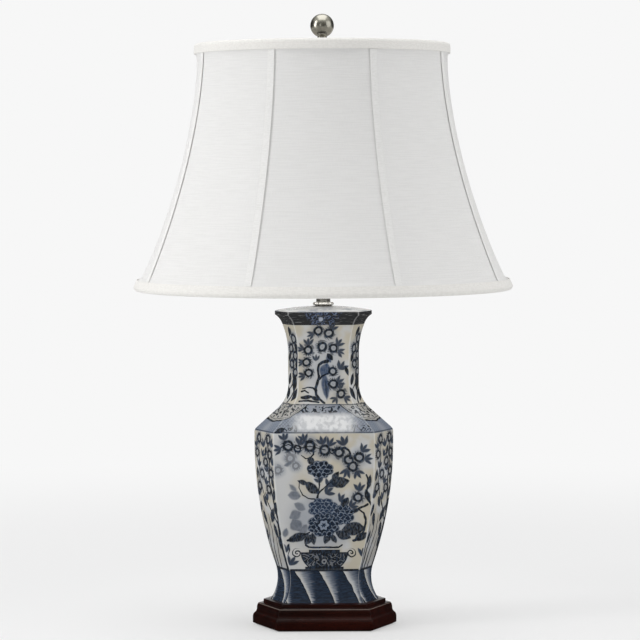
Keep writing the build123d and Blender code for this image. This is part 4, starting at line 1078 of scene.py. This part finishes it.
# Narrow bias tapes of the same cloth, folded in at both edges, are sewn over the eight seams and
# run from binding to binding.
TAPE_WIDTH, TAPE_CLOTH, TAPE_LIFT, TAPE_FIRST, TAPE_LAST = 7.4, 0.5, 0.8, 0.0294, 0.9675
TAPE_SPANS, TAPE_CROWN = 6, 1.0002
tape_cloth = weave("seam_tape", (0.86, 0.855, 0.84), (0.80, 0.795, 0.775), 0.0006, 0.006)
points, faces, tape_area = [], [], 0
for index in range(PANELS):
    turn = radians(360 / PANELS * (index + 0.5) - 90)
    outer, inner = [], []
    for drop in levels(TAPE_FIRST, TAPE_LAST, CLOTH_LEVELS):
        radius = strut_radius(drop) + TAPE_LIFT
        under = radius - TAPE_CLOTH
        strip = TAPE_WIDTH / 2 / radius, drop, turn, TAPE_SPANS
        outer.append(cloth_row(radius, radius * TAPE_CROWN, *strip))
        inner.append(cloth_row(under, under * TAPE_CROWN, *strip))
    tape_points, tape_faces = cloth(outer, inner)
    faces += [tuple(len(points) + corner for corner in face) for face in tape_faces]
    points += tape_points
    tape_area += grid_area(outer)
tapes = new_piece("seam_tapes_sewn", points, faces, tape_cloth, 50)
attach(tapes, "shade")
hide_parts("seam_tapes")
length = line_length([row[TAPE_SPANS // 2] for row in outer])

# Folded bindings of heavier cloth are sewn over both rings, and hide the cut edges of panels,
# tapes and lining.
FOLD_RADIUS, TRIM_CLOTH, FLARE_LEAN, FOLD_STEPS, TRIM_STEPS = 2.7, 1.0, radians(23.77), 16, 288
RINGS = {"top": (133.0, TOP_RING_Z, 0), "bottom": (199.1, TOP_RING_Z - RING_SPACING, pi + FLARE_LEAN)}
trim_cloth = weave("binding_cloth", (0.85, 0.835, 0.80), (0.79, 0.775, 0.74), 0.0008, 0.004)


def fold_line(radius, lean, ring_radius, ring_z):
    """Section of a folded cloth round a ring, from one leg's end over the fold to the other's."""
    local = [(radius, -TRIM_LEG), (radius, -TRIM_LEG / 2)]
    bends = [pi * step / FOLD_STEPS for step in range(FOLD_STEPS + 1)]
    local += [(radius * cos(bend), radius * sin(bend)) for bend in bends]
    local += [(-radius, -TRIM_LEG / 2), (-radius, -TRIM_LEG)]
    c, s = cos(lean), sin(lean)
    return [(ring_radius + x * c - y * s, ring_z + x * s + y * c) for x, y in local]


for end, (ring_radius, ring_z, lean) in RINGS.items():
    outside = fold_line(FOLD_RADIUS + TRIM_CLOTH, lean, ring_radius, ring_z)
    inside = fold_line(FOLD_RADIUS, lean, ring_radius, ring_z)
    middle = fold_line(FOLD_RADIUS + TRIM_CLOTH / 2, lean, ring_radius, ring_z)
    trim = new_piece(f"{end}_binding", *round_skin(outside + inside[::-1], TRIM_STEPS), trim_cloth, 50)
    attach(trim, "shade")
    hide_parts(f"{end}_trim")
    area = turned_area(middle)
    width = line_length(middle) / 1000
    area / width

# The finial is a turned stem and ball in satin nickel, screwed down on the harp's stud to hold
# the shade's spider. Its finish is a darker, warmer copy of the satin nickel: painted shade that
# dims the ball's reflections.
shaded_nickel, spot = new_material("shaded_satin_nickel")
smear = spot.noise(0.008, 3, 0.6)
turned = spot.vector("MULTIPLY", (1, 1, 14)).noise(0.002, 3, 0.6)
spot.dress(
    Base_Color=smear.blend((0.36, 0.345, 0.295), (0.47, 0.455, 0.40)),
    Metallic=1.0,
    Roughness=turned * 0.10 + smear * 0.06 + 0.18,
    Normal=turned.bump(0.00001),
)
coat(shaded_nickel, "finial_base", "finial_ball")

# The lamp stands on a plain white floor that fades into a white background. Soft light comes
# from both sides and from above, and the room in front of the lamp is dim.
floor_white, spot = new_material("white_floor")
mirrored = spot.node("ShaderNodeLightPath", None, None, "Is Glossy Ray")
dim = spot.length().between(0.4, 1.0).blend((0.075, 0.074, 0.064), (0.015, 0.015, 0.015))
spot.dress(Base_Color=mirrored.blend((0.80, 0.80, 0.80), dim), Roughness=0.9)
tree = floor_white.node_tree
seen = spot.node("ShaderNodeLightPath", None, None, "Is Camera Ray")
seen |= spot.node("ShaderNodeLightPath", None, None, "Is Transmission Ray")
far = 1 - spot.length().between(0.15, 1.6)
ROOM_WHITE = (0.93, 0.93, 0.93)
glow = tree.nodes.new("ShaderNodeEmission")
glow.inputs["Color"].default_value = (*ROOM_WHITE, 1)
mixed = tree.nodes.new("ShaderNodeMixShader")
tree.links.new((seen * (far * 0.6 + 0.4)).socket, mixed.inputs[0])
tree.links.new(tree.nodes["Principled BSDF"].outputs[0], mixed.inputs[1])
tree.links.new(glow.outputs[0], mixed.inputs[2])
tree.links.new(mixed.outputs[0], tree.nodes["Material Output"].inputs[0])
FLOOR_HALF, FLOOR_Z = 20.0, -0.0002
corners = [(-FLOOR_HALF, -FLOOR_HALF, FLOOR_Z), (FLOOR_HALF, -FLOOR_HALF, FLOOR_Z)]
corners += [(-x, -y, z) for x, y, z in corners]
floor = new_piece("floor", corners, [(0, 1, 2, 3)], floor_white)
floor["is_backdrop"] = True

# The room is white paper behind the lamp, and dim in front of it where only the glaze and the
# metal mirror it. Five soft lamps light it, one of them inside the shade for light through cloth.
world = bpy.data.worlds.new("white_room")
bpy.context.scene.world = world
world.use_nodes = True
sky = world.node_tree.nodes["Background"]
seen = Tone(world.node_tree, world.node_tree.nodes.new("ShaderNodeLightPath").outputs["Is Camera Ray"])
mirrored = seen.node("ShaderNodeLightPath", None, None, "Is Glossy Ray")
through = seen.node("ShaderNodeLightPath", None, None, "Is Transmission Ray")
way = seen.node("ShaderNodeTexCoord", None, None, "Generated")
depth = way.part(1)
room = depth.between(-0.5, 0.2).blend((0.035, 0.035, 0.035), (0.115, 0.113, 0.098))
room = depth.between(0.93, 0.985).blend(ROOM_WHITE, room)
room = way.part(2).between(0.30, 0.80).blend((0.6, 0.6, 0.58), room)
light = mirrored.blend((0.47, 0.472, 0.475), room)
light = (seen | through).blend(light, ROOM_WHITE)
world.node_tree.links.new(light.socket, sky.inputs["Color"])


def soft_light(name, place, target, width, height, watts, shape="RECTANGLE"):
    """A large soft light that looks at a target."""
    lamp = bpy.data.lights.new(name, "AREA")
    lamp.shape = shape
    lamp.size, lamp.size_y = width, height
    lamp.energy = watts
    holder = bpy.data.objects.new(name, lamp)
    holder.location = place
    holder.rotation_euler = (Vector(target) - Vector(place)).to_track_quat("-Z", "Y").to_euler()
    bpy.context.scene.collection.objects.link(holder)


soft_light("overhead", (0, 0.1, 2.2), (0, 0.1, 0), 1.7, 2.2, 19)
soft_light("left_softbox", (-2.0, -0.7, 1.0), (0, 0, 0.4), 0.45, 2.2, 23)
soft_light("right_softbox", (2.0, -0.7, 0.9), (0, 0, 0.4), 2.0, 2.2, 15.5)
soft_light("left_strip", (-0.75, -2.6, 0.75), (0, 0, 0.25), 0.22, 1.2, 2)
soft_light("light_through_cloth", (0, 0, 0.44), (0, 0, 0), 0.30, 0.30, 0.36, "ELLIPSE")

# The camera stands in front of the lamp at the height of the shade, with a long lens, and looks a
# little down.
LOOK_DOWN, ROLL = 3.291, 0.25
camera = bpy.data.cameras.new("camera")
camera.sensor_width = 36
camera.lens = 149.9
camera.shift_x = -0.0042
eye = bpy.data.objects.new("camera", camera)
eye.location = (0, -2.8547, 0.4924)
eye.rotation_euler = (radians(90 - LOOK_DOWN), radians(ROLL), 0)
bpy.context.scene.collection.objects.link(eye)
bpy.context.scene.camera = eye
bpy.context.scene.view_settings.view_transform = "Standard"

boxes = {"cad": cad_box, "visual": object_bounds()}
{name: [list(corner) for corner in box] for name, box in boxes.items()}
